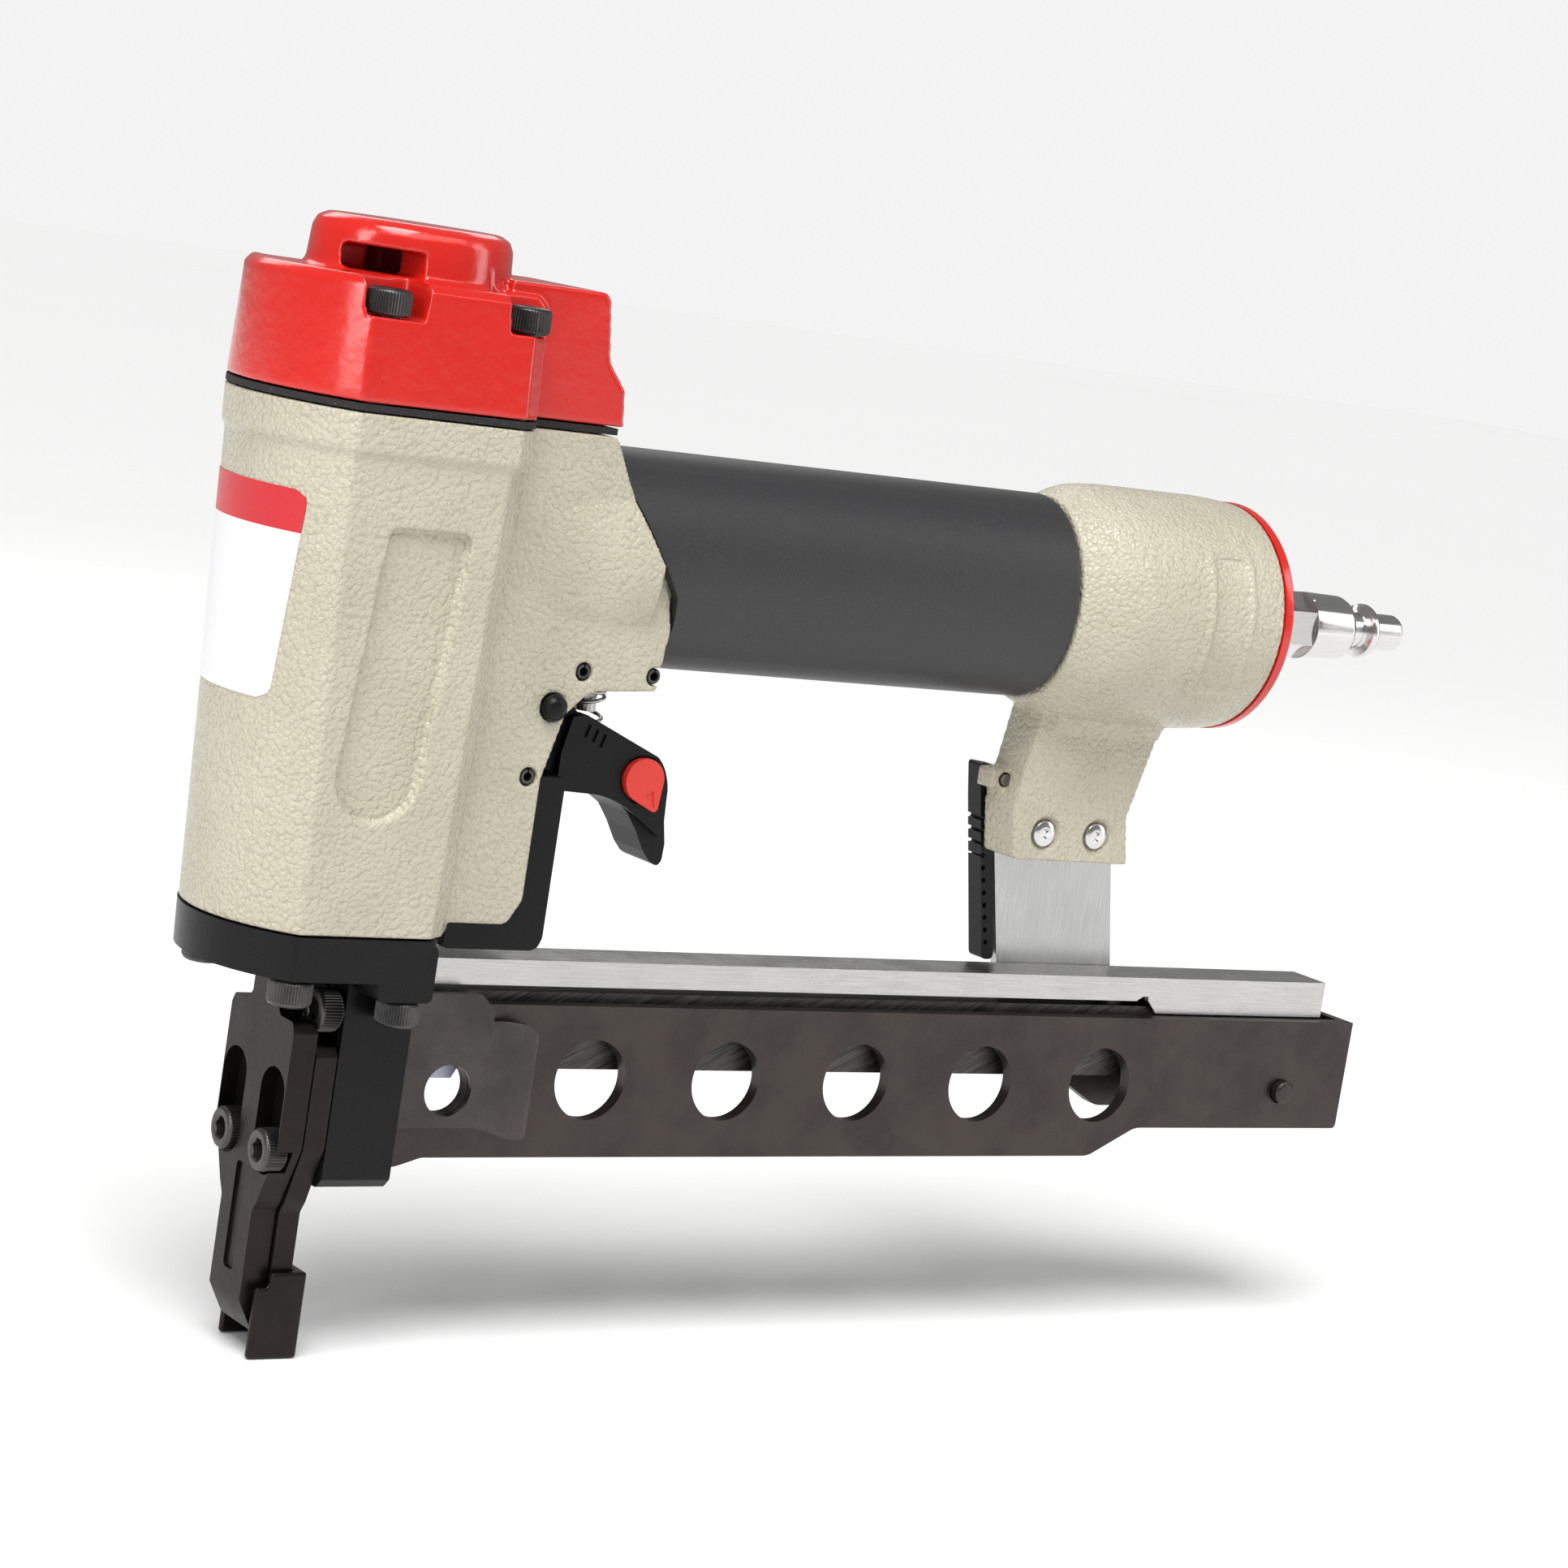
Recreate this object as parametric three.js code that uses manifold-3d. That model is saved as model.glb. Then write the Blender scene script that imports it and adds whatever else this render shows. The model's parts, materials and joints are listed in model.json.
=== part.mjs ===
// Pneumatic stapler: cast housing with a cylinder, oval handle, trigger valve, nose and sliding magazine.
// Millimetres, +Z up. X = 0, Y = 0 is the driver axis and +X the air plug.
import * as THREE from 'three';
import { mergeVertices } from 'three/addons/utils/BufferGeometryUtils.js';
import Module from 'manifold-3d';

const wasm = await Module();
wasm.setup();

// ---- driving dimensions ----
const gap = 0.3;                 // clearance between pieces that seat on each other
const bodyHeight = 97.2;         // cylinder barrel, bottom to top
const handleReach = 165;         // driver axis to the handle sleeve's rear end, less the sleeve's inset
const magazineLength = 244.6;    // magazine channel, front edge to rear face
const stapleLeg = 32;            // longest staple leg
const stapleCrown = 11.1;        // outside width of a staple
const boreRadius = 17;           // cylinder bore
const screwRadius = 2.4;         // M5 shank
const screwHole = 2.7;
const headRadius = 4.25;         // M5 socket head
const headHeight = 5;
const socketRadius = 2.3;

// ---- nose and magazine levels ----
const noseTip = 8.3;
const blockBottom = 38;
const channelWall = 3;
const channelInner = stapleCrown / 2 + 0.35;
const channelOuter = channelInner + channelWall;
const channelTop = 74;
const crownGap = 1.4;
const railBottom = 77;
const coreTop = railBottom - crownGap;
const channelBottom = coreTop - stapleLeg - 0.4;
const channelRise = 6.3;         // how much shallower the channel is behind the last hole
const railTop = 82.3;
const railHalf = stapleCrown / 2 + 0.05;
const railWall = 1.2;
const blockTop = 80.2;
const blockFront = 3.5;
const blockRear = 18.3;
const blockHalf = 13;
const channelFront = blockRear + 0.7;
const channelRear = channelFront + magazineLength;
const railFront = 16.8;
const holeRadius = 8.2;
const holePitch = 32.5;
const holeFirst = 63;
const holeCount = 5;
const holeLevel = 59;

// ---- barrel ----
const baseBottom = blockTop + gap;
const baseTop = baseBottom + 8.5;
const bodyBottom = baseTop + gap;
const bodyTop = bodyBottom + bodyHeight;
const gasketThickness = 1.3;
const capBottom = bodyTop + gasketThickness + 2 * gap;
const capHeight = 22.4;
const capTop = capBottom + capHeight;
const domeHeight = 10;
const domeCentre = 1.7;
const sleeveWall = 2.7;
const sleeveRadius = boreRadius + sleeveWall;
const housingBore = sleeveRadius + gap;
const boreFloor = bodyBottom + 3.7;
const strokeLength = 65;
const pistonHeight = 12;
const bumperHeight = 9.2;

// ---- handle ----
const handleAxis = 162.5;
const gripHalfHeight = 21.4;
const gripHalfWidth = 18;
const gripWall = 2.6;
const gripEnd = handleReach - 6;
const bellRadius = 25.2;
const bellEnd = gripEnd + 50;
const endCapWidth = 2.6;
const armShift = gripEnd - 159;    // the rear arm, strap and latch stay under the bell
const chamberRadius = 12;

// ---- web, trigger and contact arm ----
const webHalf = 15.5;
const slotHalf = 9.3;
const webRear = 37.3;
const webBottom = 91.3;
const pivotX = 37.5;
const pivotZ = 134;
const pivotRadius = 2.5;
const valveX = 54.5;
const selectorX = 65.2;
const selectorZ = 119.7;
const armNear = 7;
const armFar = 9;
const armFront = 6.6;
const armRear = 10;
const rollRadius = 1.6;

const colours = {
  paint: { color: 0xc4beaa, roughness: 0.55, metalness: 0.1 },
  red: { color: 0xd8201c, roughness: 0.25, metalness: 0 },
  rubber: { color: 0x2c2b2d, roughness: 0.7, metalness: 0 },
  seal: { color: 0x1c1c1c, roughness: 0.8, metalness: 0 },
  steel: { color: 0xb9b9b8, roughness: 0.3, metalness: 1 },
  black: { color: 0x1d1d20, roughness: 0.55, metalness: 0.2 },
  blued: { color: 0x39322e, roughness: 0.42, metalness: 0.8 },
  zinc: { color: 0xa9a9c4, roughness: 0.45, metalness: 0.7 },
  nickel: { color: 0xd0d0cf, roughness: 0.16, metalness: 1 },
  brass: { color: 0xa98c54, roughness: 0.35, metalness: 1 },
};

// ---- geometry helpers ----
function solid(geometry) {
  geometry.deleteAttribute('normal');
  geometry.deleteAttribute('uv');
  const merged = mergeVertices(geometry, 1e-4);
  return new wasm.Manifold(new wasm.Mesh({
    numProp: 3,
    vertProperties: new Float32Array(merged.attributes.position.array),
    triVerts: new Uint32Array(merged.index.array),
  }));
}

function box(x0, x1, y0, y1, z0, z1) {
  const geometry = new THREE.BoxGeometry(x1 - x0, y1 - y0, z1 - z0);
  geometry.translate((x0 + x1) / 2, (y0 + y1) / 2, (z0 + z1) / 2);
  return solid(geometry);
}

// A cylinder along 'x', 'y' or 'z' from one place to another, centred on the other two coordinates.
function rod(axis, radius, from, to, a, b, sides = 20) {
  const geometry = new THREE.CylinderGeometry(radius, radius, to - from, sides);
  const middle = (from + to) / 2;
  if (axis === 'x') {
    geometry.rotateZ(Math.PI / 2);
    geometry.translate(middle, a, b);
  } else if (axis === 'y') {
    geometry.translate(a, middle, b);
  } else {
    geometry.rotateX(Math.PI / 2);
    geometry.translate(a, b, middle);
  }
  return solid(geometry);
}

// A side-view outline of [x, z] points, extruded across the tool from y0 to y1.
function sidePlate(outline, y0, y1, bevel = 0) {
  const shape = new THREE.Shape(outline.map(([x, z]) => new THREE.Vector2(x, z)));
  return sideShape(shape, y0, y1, bevel);
}

function sideShape(shape, y0, y1, bevel = 0) {
  const geometry = new THREE.ExtrudeGeometry(shape, {
    depth: y1 - y0 - 2 * bevel,
    bevelEnabled: bevel > 0,
    bevelThickness: bevel,
    bevelSize: bevel,
    bevelOffset: -bevel,
    bevelSegments: 1,
    curveSegments: 4,
  });
  geometry.rotateX(Math.PI / 2);
  geometry.translate(0, y1 - bevel, 0);
  return solid(geometry);
}

// A front-view outline of [y, z] points, extruded along X from x0 to x1.
function frontPlate(outline, x0, x1) {
  const shape = new THREE.Shape(outline.map(([y, z]) => new THREE.Vector2(y, z)));
  const geometry = new THREE.ExtrudeGeometry(shape, { depth: x1 - x0, bevelEnabled: false });
  geometry.applyMatrix4(new THREE.Matrix4().makeBasis(
    new THREE.Vector3(0, 1, 0), new THREE.Vector3(0, 0, 1), new THREE.Vector3(1, 0, 0)));
  geometry.translate(x0, 0, 0);
  return solid(geometry);
}

// A closed skin over rings of equal length, with flat ends.
function loft(rings) {
  const count = rings[0].length;
  const points = rings.flat();
  const faces = [];
  for (let ring = 0; ring + 1 < rings.length; ring++) {
    for (let i = 0; i < count; i++) {
      const a = ring * count + i;
      const b = ring * count + (i + 1) % count;
      faces.push(a, b, b + count, a, b + count, a + count);
    }
  }
  const last = (rings.length - 1) * count;
  for (let i = 1; i + 1 < count; i++) {
    faces.push(0, i + 1, i);
    faces.push(last, last + i, last + i + 1);
  }
  const result = new wasm.Manifold(new wasm.Mesh({
    numProp: 3,
    vertProperties: new Float32Array(points.flat()),
    triVerts: new Uint32Array(faces),
  }));
  return result;
}

// The barrel's plan outline at one level, counter-clockwise seen from above.
function barrelRing(level, grow, plan) {
  const { tip, crease, half, rear } = plan;
  const w = half + grow;
  const front = -tip - grow;
  const edge = -crease;
  const sagitta = edge - front;
  const radius = (w * w + sagitta * sagitta) / (2 * sagitta);
  const sweep = Math.asin(Math.min(1, w / radius));
  const steps = 8;
  const ring = [];
  for (let i = 0; i <= steps; i++) {
    const angle = sweep - (2 * sweep * i) / steps;
    ring.push([front + radius - radius * Math.cos(angle), radius * Math.sin(angle), level]);
  }
  ring.push([rear - 4 + grow, -w, level]);
  ring.push([rear + grow, -w + 3, level]);
  ring.push([rear + 5 + grow, -webHalf + 3, level]);
  ring.push([rear + 5 + grow, webHalf - 3, level]);
  ring.push([rear + grow, w - 3, level]);
  ring.push([rear - 4 + grow, w, level]);
  return ring;
}

const planTop = { tip: 27.5, crease: 18, half: 25, rear: 19.5 };
const planBottom = { tip: 24.5, crease: 13.5, half: 22.5, rear: 18 };

function planAt(level) {
  const t = (level - bodyBottom) / bodyHeight;
  const mix = (key) => planBottom[key] + (planTop[key] - planBottom[key]) * t;
  return { tip: mix('tip'), crease: mix('crease'), half: mix('half'), rear: mix('rear') };
}

// An oval ring across the handle at one place along X.
function ovalRing(x, halfWidth, halfHeight, centre, count = 20) {
  const ring = [];
  for (let i = 0; i < count; i++) {
    const angle = (2 * Math.PI * i) / count;
    ring.push([x, halfWidth * Math.cos(angle), centre + halfHeight * Math.sin(angle)]);
  }
  return ring;
}

// A coil of round wire around a vertical or lengthways axis.
function coil(axis, radius, wire, from, to, turns, a, b) {
  const points = [];
  const steps = turns * 7;
  for (let i = 0; i <= steps; i++) {
    const angle = (2 * Math.PI * i) / 7;
    const along = from + wire + ((to - from - 2 * wire) * i) / steps;
    const u = a + radius * Math.cos(angle);
    const v = b + radius * Math.sin(angle);
    points.push(axis === 'z' ? new THREE.Vector3(u, v, along) : new THREE.Vector3(along, u, v));
  }
  const section = new THREE.Shape();
  section.absarc(0, 0, wire, 0, 2 * Math.PI, false);
  const geometry = new THREE.ExtrudeGeometry(section, {
    steps,
    curveSegments: 2,
    bevelEnabled: false,
    extrudePath: new THREE.CatmullRomCurve3(points),
  });
  return solid(geometry);
}

const group = new THREE.Group();

function add(name, shape, finish) {
  const mesh = shape.getMesh();
  const geometry = new THREE.BufferGeometry();
  geometry.setAttribute('position', new THREE.BufferAttribute(mesh.vertProperties, 3));
  geometry.setIndex(new THREE.BufferAttribute(mesh.triVerts, 1));
  geometry.computeVertexNormals();
  const item = new THREE.Mesh(geometry, new THREE.MeshStandardMaterial(colours[finish]));
  item.name = name;
  group.add(item);
}

// A socket head screw whose head starts at 'seat' and whose shank runs the other way.
function socketScrew(axis, seat, direction, shank, a, b) {
  const headEnd = seat + direction * headHeight;
  const shankEnd = seat - direction * shank;
  const low = Math.min(seat, headEnd);
  const high = Math.max(seat, headEnd);
  const head = rod(axis, headRadius, low, high, a, b, 14);
  const stem = rod(axis, screwRadius, Math.min(seat, shankEnd), Math.max(seat, shankEnd), a, b, 8);
  const socketLow = direction > 0 ? headEnd - 3 : headEnd - 1;
  const socket = rod(axis, socketRadius, socketLow, socketLow + 4, a, b, 6);
  return head.add(stem).subtract(socket);
}

// ---- screw, pin and pivot places ----
const capScrewPlaces = [[-13, -20.9], [16.5, -20.9], [-13, 20.9], [16.5, 20.9]];
const capScrewSeat = capBottom + 15.4;
const baseScrewPlaces = [[-11.7, -18, 0], [11.7, -18, 1], [-11.7, 18, 0], [11.7, 18, 1]];
const lobeDrop = 3.5;
const rollPins = { roll_pin_front: [43.4, 141.2], roll_pin_rear: [59.5, 141.3], roll_pin_lower: [34.4, 120.2] };
const rivets = { bracket_rivet_front: [170.3 + armShift, 112.6], bracket_rivet_rear: [184.3 + armShift, 112.6] };
const upperNoseScrew = { y: 9.6, z: 72.5 };
const lowerNoseScrew = { y: 7.9, z: 44.6 };
const valveFoot = 136.6;
const valveRadius = 7;
const stemRadius = 2;

// ---- housing ----
const underBell = ([x, z]) => [x + armShift, z];

function makeHousing() {
  const levels = [bodyBottom, bodyTop - 8, bodyTop - 7, bodyTop];
  const grows = [0, 0, 0.8, 0.8];
  const barrel = loft(levels.map((level, i) => barrelRing(level, grows[i], planAt(level))));

  const web = sidePlate([
    [14, webBottom], [34.3, webBottom], [webRear, 96.3], [webRear, 120.2], [40.6, 132.7], [44.5, 136.6], [47, 137.6],
    [60.3, 138.4], [60.3, 139.7], [61.5, 150.5], [60.2, 157], [54.3, 166], [47.5, 178], [43.2, bodyTop],
    [14, bodyTop]], -webHalf, webHalf, 1.2);
  const root = loft([[20, 14.5, 40], [44, 17.6, 25], [56, 19, 20]].map(([x, wide, high]) =>
    ovalRing(x, wide, high, handleAxis)));
  const rootBox = sidePlate([
    [20, 139.8], [60.5, 139.8], [61.5, 150.5], [60.2, 157], [54.3, 166], [47.5, 178], [44.2, 184],
    [20, 184]], -19, 19, 3);
  const cheeks = root.intersect(rootBox);

  const coreHeight = gripHalfHeight - gripWall - gap;
  const coreWidth = gripHalfWidth - gripWall - gap;
  const core = loft([20, gripEnd + 2].map((x) => ovalRing(x, coreWidth, coreHeight, handleAxis)));
  const bell = loft([
    [gripEnd + gap, gripHalfWidth, gripHalfHeight + 0.4], [gripEnd + 3, 19.6, 23], [gripEnd + 8, 23, bellRadius - 0.5],
    [gripEnd + 14, bellRadius - 0.4, bellRadius], [bellEnd - 10, bellRadius, bellRadius], [bellEnd, 24.4, 24.4],
  ].map(([x, wide, high]) => ovalRing(x, wide, high, handleAxis - 0.5)));

  const arm = sidePlate([
    [164.5, 142], [160.5, 118], [162.4, 107], [193.5, 106.8], [191.3, 117.1], [198, 142],
  ].map(underBell), -5, 5.6, 0.8);
  const lip = sidePlate([[157.6, 125], [163.6, 125.4], [163.2, 107], [160.4, 120.5], [157.6, 121]].map(underBell), 0.4, 5.6);

  let housing = barrel.add(web).add(cheeks).add(core).add(bell).add(arm).add(lip);

  const cuts = [
    rod('z', housingBore, boreFloor, bodyTop + 5, 0, 0, 24),
    rod('z', 9, bodyBottom - 5, bodyTop, 0, 0, 16),
    rod('x', chamberRadius, 12, bellEnd + 5, 0, handleAxis, 16),
    rod('x', 20, gripEnd + 12, bellEnd + 5, 0, handleAxis - 0.5, 20),
    sidePlate([[23.8, webBottom - 5], [60, webBottom - 5], [60, 135], [47, 138.9], [31.5, 138.9],
      [31.5, 126], [23.8, 126]], -slotHalf, slotHalf),
    rod('z', valveRadius + gap, valveFoot - 5, handleAxis, valveX, 0, 16),
    rod('y', pivotRadius + gap, -30, 30, pivotX, pivotZ),
  ];
  for (const [x, z] of Object.values(rollPins)) {
    cuts.push(rod('y', rollRadius + gap, -30, 30, x, z, 10));
  }
  for (const [x, z] of Object.values(rivets)) {
    cuts.push(rod('y', 1.8, -10, 10, x, z, 16));
    cuts.push(rod('y', 3.3, -10, -3.4, x, z, 20));
  }
  for (const [x, y] of capScrewPlaces) {
    cuts.push(rod('z', screwHole, bodyTop - 8, bodyTop + 5, x, y, 8));
  }
  for (const [x, y] of baseScrewPlaces) {
    cuts.push(rod('z', screwHole, bodyBottom - 5, boreFloor - 0.8, x, y, 12));
  }
  cuts.push(rod('y', leverPinRadius + gap, -0.5, 10, leverPivot.x, leverPivot.z, 12));
  for (const cut of cuts) {
    housing = housing.subtract(cut);
  }
  return housing;
}

// ---- cap, gasket, grip and air inlet ----
function makeCap() {
  const main = loft([
    barrelRing(capBottom, 0.8, planTop), barrelRing(capTop - 1.5, 0.2, planTop),
    barrelRing(capTop, -1.3, planTop)]);
  const rearTop = capTop + 2.5;
  const rear = sidePlate([
    [16, capBottom], [44.6, capBottom], [43.8, capBottom + 7], [39.6, capBottom + 12],
    [37.8, rearTop - 1], [36.5, rearTop], [16, rearTop]], -14.5, 14.5, 1.2);
  const dome = loft([[capTop - 3, 0], [capTop + domeHeight - 2, 0.4], [capTop + domeHeight, 2.4]].map(
    ([level, inset]) => {
      const ring = [];
      for (let i = 0; i < 28; i++) {
        const angle = (2 * Math.PI * i) / 28;
        ring.push([domeCentre + (19.7 - inset) * Math.cos(angle), (17.5 - inset) * Math.sin(angle), level]);
      }
      return ring;
    }));
  let cap = main.add(rear).add(dome);
  cap = cap.subtract(rod('z', housingBore, capBottom - 5, capBottom + 14, 0, 0, 24));
  cap = cap.subtract(rod('z', 7.5, capBottom, capTop + 6, 0, 0, 16));
  cap = cap.subtract(box(-16, -4, -30, 0, capTop + 0.3, capTop + 5));
  cap = cap.subtract(box(24, 38, -9, 9, capBottom - 5, capBottom + 9));
  for (const [x, y] of capScrewPlaces) {
    const side = Math.sign(y);
    const inner = y - side * 5.4;
    const outer = y + side * 12;
    const low = Math.min(inner, outer);
    const high = Math.max(inner, outer);
    cap = cap.subtract(box(x - 6.2, x + (x > 0 ? 12 : 6.2), low, high, capScrewSeat, capTop + 4));
    cap = cap.subtract(rod('z', screwHole, capBottom - 5, capScrewSeat + 1, x, y, 12));
  }
  return cap;
}

function makeGasket() {
  const bottom = bodyTop + gap;
  const top = bottom + gasketThickness;
  let gasket = loft([barrelRing(bottom, 0.8, planTop), barrelRing(top, 0.8, planTop)]);
  gasket = gasket.add(box(16, 43.4, -14.5, 14.5, bottom, top));
  gasket = gasket.subtract(rod('z', housingBore, bottom - 1, top + 1, 0, 0, 24));
  for (const [x, y] of capScrewPlaces) {
    gasket = gasket.subtract(rod('z', screwHole, bottom - 1, top + 1, x, y, 12));
  }
  return gasket;
}

function makeGrip() {
  const outer = loft([
    [44, 17.4, gripHalfHeight], [66, gripHalfWidth, gripHalfHeight], [130, gripHalfWidth, gripHalfHeight],
    [gripEnd - 1.5, gripHalfWidth, gripHalfHeight], [gripEnd, gripHalfWidth - 0.8, gripHalfHeight - 0.8],
  ].map(([x, wide, high]) => ovalRing(x, wide, high, handleAxis)));
  const inner = loft([40, gripEnd + 5].map((x) =>
    ovalRing(x, gripHalfWidth - gripWall, gripHalfHeight - gripWall, handleAxis)));
  const seat = sidePlate([
    [20, 130], [60.8, 130], [61.8 + gap, 150.5], [60.5 + gap, 157.2], [54.6 + gap, 166.2],
    [47.8 + gap, 178.2], [43.5 + gap, bodyTop], [20, bodyTop]], -30, 30);
  const valveRelief = rod('z', valveRadius + 2, 130, 150, valveX, 0, 20);
  return outer.subtract(inner).subtract(seat).subtract(valveRelief);
}

function makeEndCap() {
  const start = bellEnd + gap;
  const ring = loft([[start, 24.6], [start + endCapWidth - 0.8, 24.6], [start + endCapWidth, 23.6]].map(
    ([x, radius]) => ovalRing(x, radius, radius, handleAxis - 0.5)));
  const plug = rod('x', 19.5, bellEnd - 14, start + 1, 0, handleAxis - 0.5, 20);
  return ring.add(plug).subtract(rod('x', 7.3, bellEnd - 20, start + 10, 0, plugAxis, 20));
}

const plugAxis = 161.6;
const bushingHex = 13.2;
const bushingFace = bellEnd + gap + endCapWidth;

function makeBushing() {
  const hex = rod('x', 9.8, bushingFace + gap, bushingFace + gap + bushingHex, 0, plugAxis, 6);
  const thread = rod('x', 7, bellEnd - 16, bushingFace + 1, 0, plugAxis, 20);
  return hex.add(thread).subtract(rod('x', 5, bellEnd - 20, bushingFace + 20, 0, plugAxis, 16));
}

function makeAirPlug() {
  const start = bushingFace + bushingHex + 2 * gap;
  const profile = [
    [2.6, -12], [4.7, -12], [4.7, 0], [7.4, 0], [7.4, 10], [7.1, 19.6], [6.3, 20.9], [4.1, 21.4], [4.1, 25],
    [6, 26.6], [6, 28], [4.1, 29.6], [4.1, 36.2], [3.6, 37], [2.6, 37]];
  const outline = profile.map(([radius, along]) => new THREE.Vector2(radius, along));
  outline.push(outline[0].clone());
  const geometry = new THREE.LatheGeometry(outline, 14);
  geometry.rotateZ(-Math.PI / 2);
  geometry.translate(start, 0, plugAxis);
  let plug = solid(geometry);
  for (const side of [-1, 1]) {
    plug = plug.subtract(box(start + 1, start + 7, side < 0 ? -10 : 6.4, side < 0 ? -6.4 : 10, plugAxis - 9, plugAxis + 9));
  }
  return plug;
}

// ---- cylinder, piston and head valve ----
const pistonBottom = boreFloor + bumperHeight + strokeLength + 1;
const bladeBottom = noseTip + strokeLength + 3;

function makePiston() {
  const body = rod('z', boreRadius - gap, pistonBottom, pistonBottom + pistonHeight, 0, 0, 24);
  const groove = rod('z', boreRadius + 1, pistonBottom + 7, pistonBottom + 10, 0, 0, 24)
    .subtract(rod('z', boreRadius - 2.6, pistonBottom + 6, pistonBottom + 11, 0, 0, 24));
  const slot = box(-1.2, 1.2, -5.6, 5.6, pistonBottom - 1, pistonBottom + 4);
  return body.subtract(groove).subtract(slot);
}

function ringAround(inner, outer, low, high, sides = 24) {
  return rod('z', outer, low, high, 0, 0, sides).subtract(rod('z', inner, low - 1, high + 1, 0, 0, sides));
}

// ---- nose ----
function makeNoseBase() {
  const plan = planBottom;
  const slab = loft([barrelRing(baseBottom, -0.2, plan), barrelRing(baseTop, 0.2, plan)]);
  let base = slab.subtract(box(16.4, 40, -30, 30, baseBottom - 1, baseTop + 1));
  for (const side of [-1, 1]) {
    const low = side < 0 ? -22.2 : 14;
    base = base.add(box(4.6, 16.4, low, low + 8.2, baseBottom - lobeDrop, baseTop - 1));
  }
  base = base.subtract(box(-1.4, 1.4, -5.8, 5.8, baseBottom - 5, baseTop + 5));
  base = base.subtract(box(armFront - 0.4, 30, armNear - gap, armFar + gap, baseBottom - 5, baseTop + 5));
  for (const [x, y] of baseScrewPlaces) {
    base = base.subtract(rod('z', screwHole, baseBottom - 9, baseTop + 5, x, y, 12));
  }
  return base;
}

// Front outline of the nose plates: a neck, wide shoulders, then a narrow blade down to the tip.
function noseOutline(shoulder, bladeHalf, tip) {
  const right = [
    [5.2, blockTop - gap], [5.2, shoulder + 2], [7, shoulder], [blockHalf - 1, shoulder],
    [blockHalf, shoulder - 2], [blockHalf, 46], [bladeHalf + 1.5, 34.5], [bladeHalf, 32], [bladeHalf, tip]];
  return [...right, ...right.map(([y, z]) => [-y, z]).reverse()];
}

const frontPlateFace = -6.8;
const frontPlateBack = -1.6;
const guideFront = frontPlateBack + gap;
const guideBack = blockFront - gap;

function makeFrontPlate() {
  const pocketTop = 56;
  let plate = frontPlate(noseOutline(70.5, 6.4, noseTip), frontPlateFace, frontPlateBack);
  plate = plate.subtract(sidePlate([
    [frontPlateFace - 1, noseTip + 8], [frontPlateFace - 1, noseTip - 1], [frontPlateBack - 1.2, noseTip - 1]],
  -20, 20));
  plate = plate.subtract(box(frontPlateFace - 1, frontPlateFace + 0.6, -2, 2, 19, 40));
  for (const side of [-1, 1]) {
    plate = plate.subtract(rod('x', headRadius + 0.4, -2.2, 5, side * upperNoseScrew.y, upperNoseScrew.z, 20));
    const y = side * lowerNoseScrew.y;
    const reach = [frontPlateFace - 5, -3.2];
    plate = plate.subtract(rod('x', headRadius + 0.5, ...reach, y, lowerNoseScrew.z, 24));
    plate = plate.subtract(rod('x', headRadius + 0.5, ...reach, y, pocketTop, 24));
    plate = plate.subtract(box(...reach, y - headRadius - 0.5, y + headRadius + 0.5, lowerNoseScrew.z, pocketTop));
    plate = plate.subtract(rod('x', screwHole, -10, 10, y, lowerNoseScrew.z, 12));
  }
  return plate;
}

function makeDriverGuide() {
  let guide = frontPlate(noseOutline(66, 7.2, noseTip + 1), guideFront, guideBack);
  guide = guide.subtract(box(guideFront - 1, 1.1, -5.7, 5.7, 0, 100));
  guide = guide.subtract(box(0, 10, -channelInner, channelInner, channelBottom, coreTop + crownGap));
  guide = guide.subtract(box(-10, 10, -30, 30, 66, 100));
  for (const side of [-1, 1]) {
    guide = guide.subtract(rod('x', screwHole, -10, 10, side * lowerNoseScrew.y, lowerNoseScrew.z, 12));
  }
  return guide;
}

function makeNoseBlock() {
  let block = frontPlate([
    [-blockHalf, blockBottom + 2], [-blockHalf + 2, blockBottom], [blockHalf - 2, blockBottom],
    [blockHalf, blockBottom + 2], [blockHalf, blockTop], [-blockHalf, blockTop]], blockFront, blockRear);
  block = block.subtract(box(0, 30, -channelInner, channelInner, channelBottom, railBottom));
  block = block.subtract(box(14, 30, -railHalf - gap, railHalf + gap, railBottom - 1, 90));
  block = block.subtract(box(armFront - gap, armRear + gap, armNear - gap, armFar + gap, 0, 100));
  block = block.subtract(box(armFront - gap, 30, armNear - gap, armFar + gap, 74.6, 100));
  block = block.subtract(rod('y', 1.8, -11.3, 20, corePin.x, corePin.z, 16));
  for (const side of [-1, 1]) {
    block = block.subtract(rod('x', screwHole, -5, 12, side * upperNoseScrew.y, upperNoseScrew.z, 12));
    block = block.subtract(rod('x', screwHole, -5, 7.5, side * lowerNoseScrew.y, lowerNoseScrew.z, 12));
    block = block.subtract(rod('z', headRadius + 0.6, baseBottom - 14, 100, 11.7, side * 18, 20));
  }
  return block;
}

const corePin = { x: 6, z: 66 };

// ---- contact foot and arm ----
const footWall = 2.2;
const footBottom = 3.5;

function makeContactFoot() {
  const inner = 7.5;
  const outer = 9.1;
  const rearIn = guideBack + gap;
  let foot = box(-4.8, rearIn + footWall, -outer, outer, footBottom, 20.5);
  foot = foot.subtract(box(-10, rearIn, -inner, inner, footBottom - 1, 30));
  foot = foot.subtract(box(-10, -2.2, inner - 1, outer + 1, footBottom - 1, 30));
  return foot;
}

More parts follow.
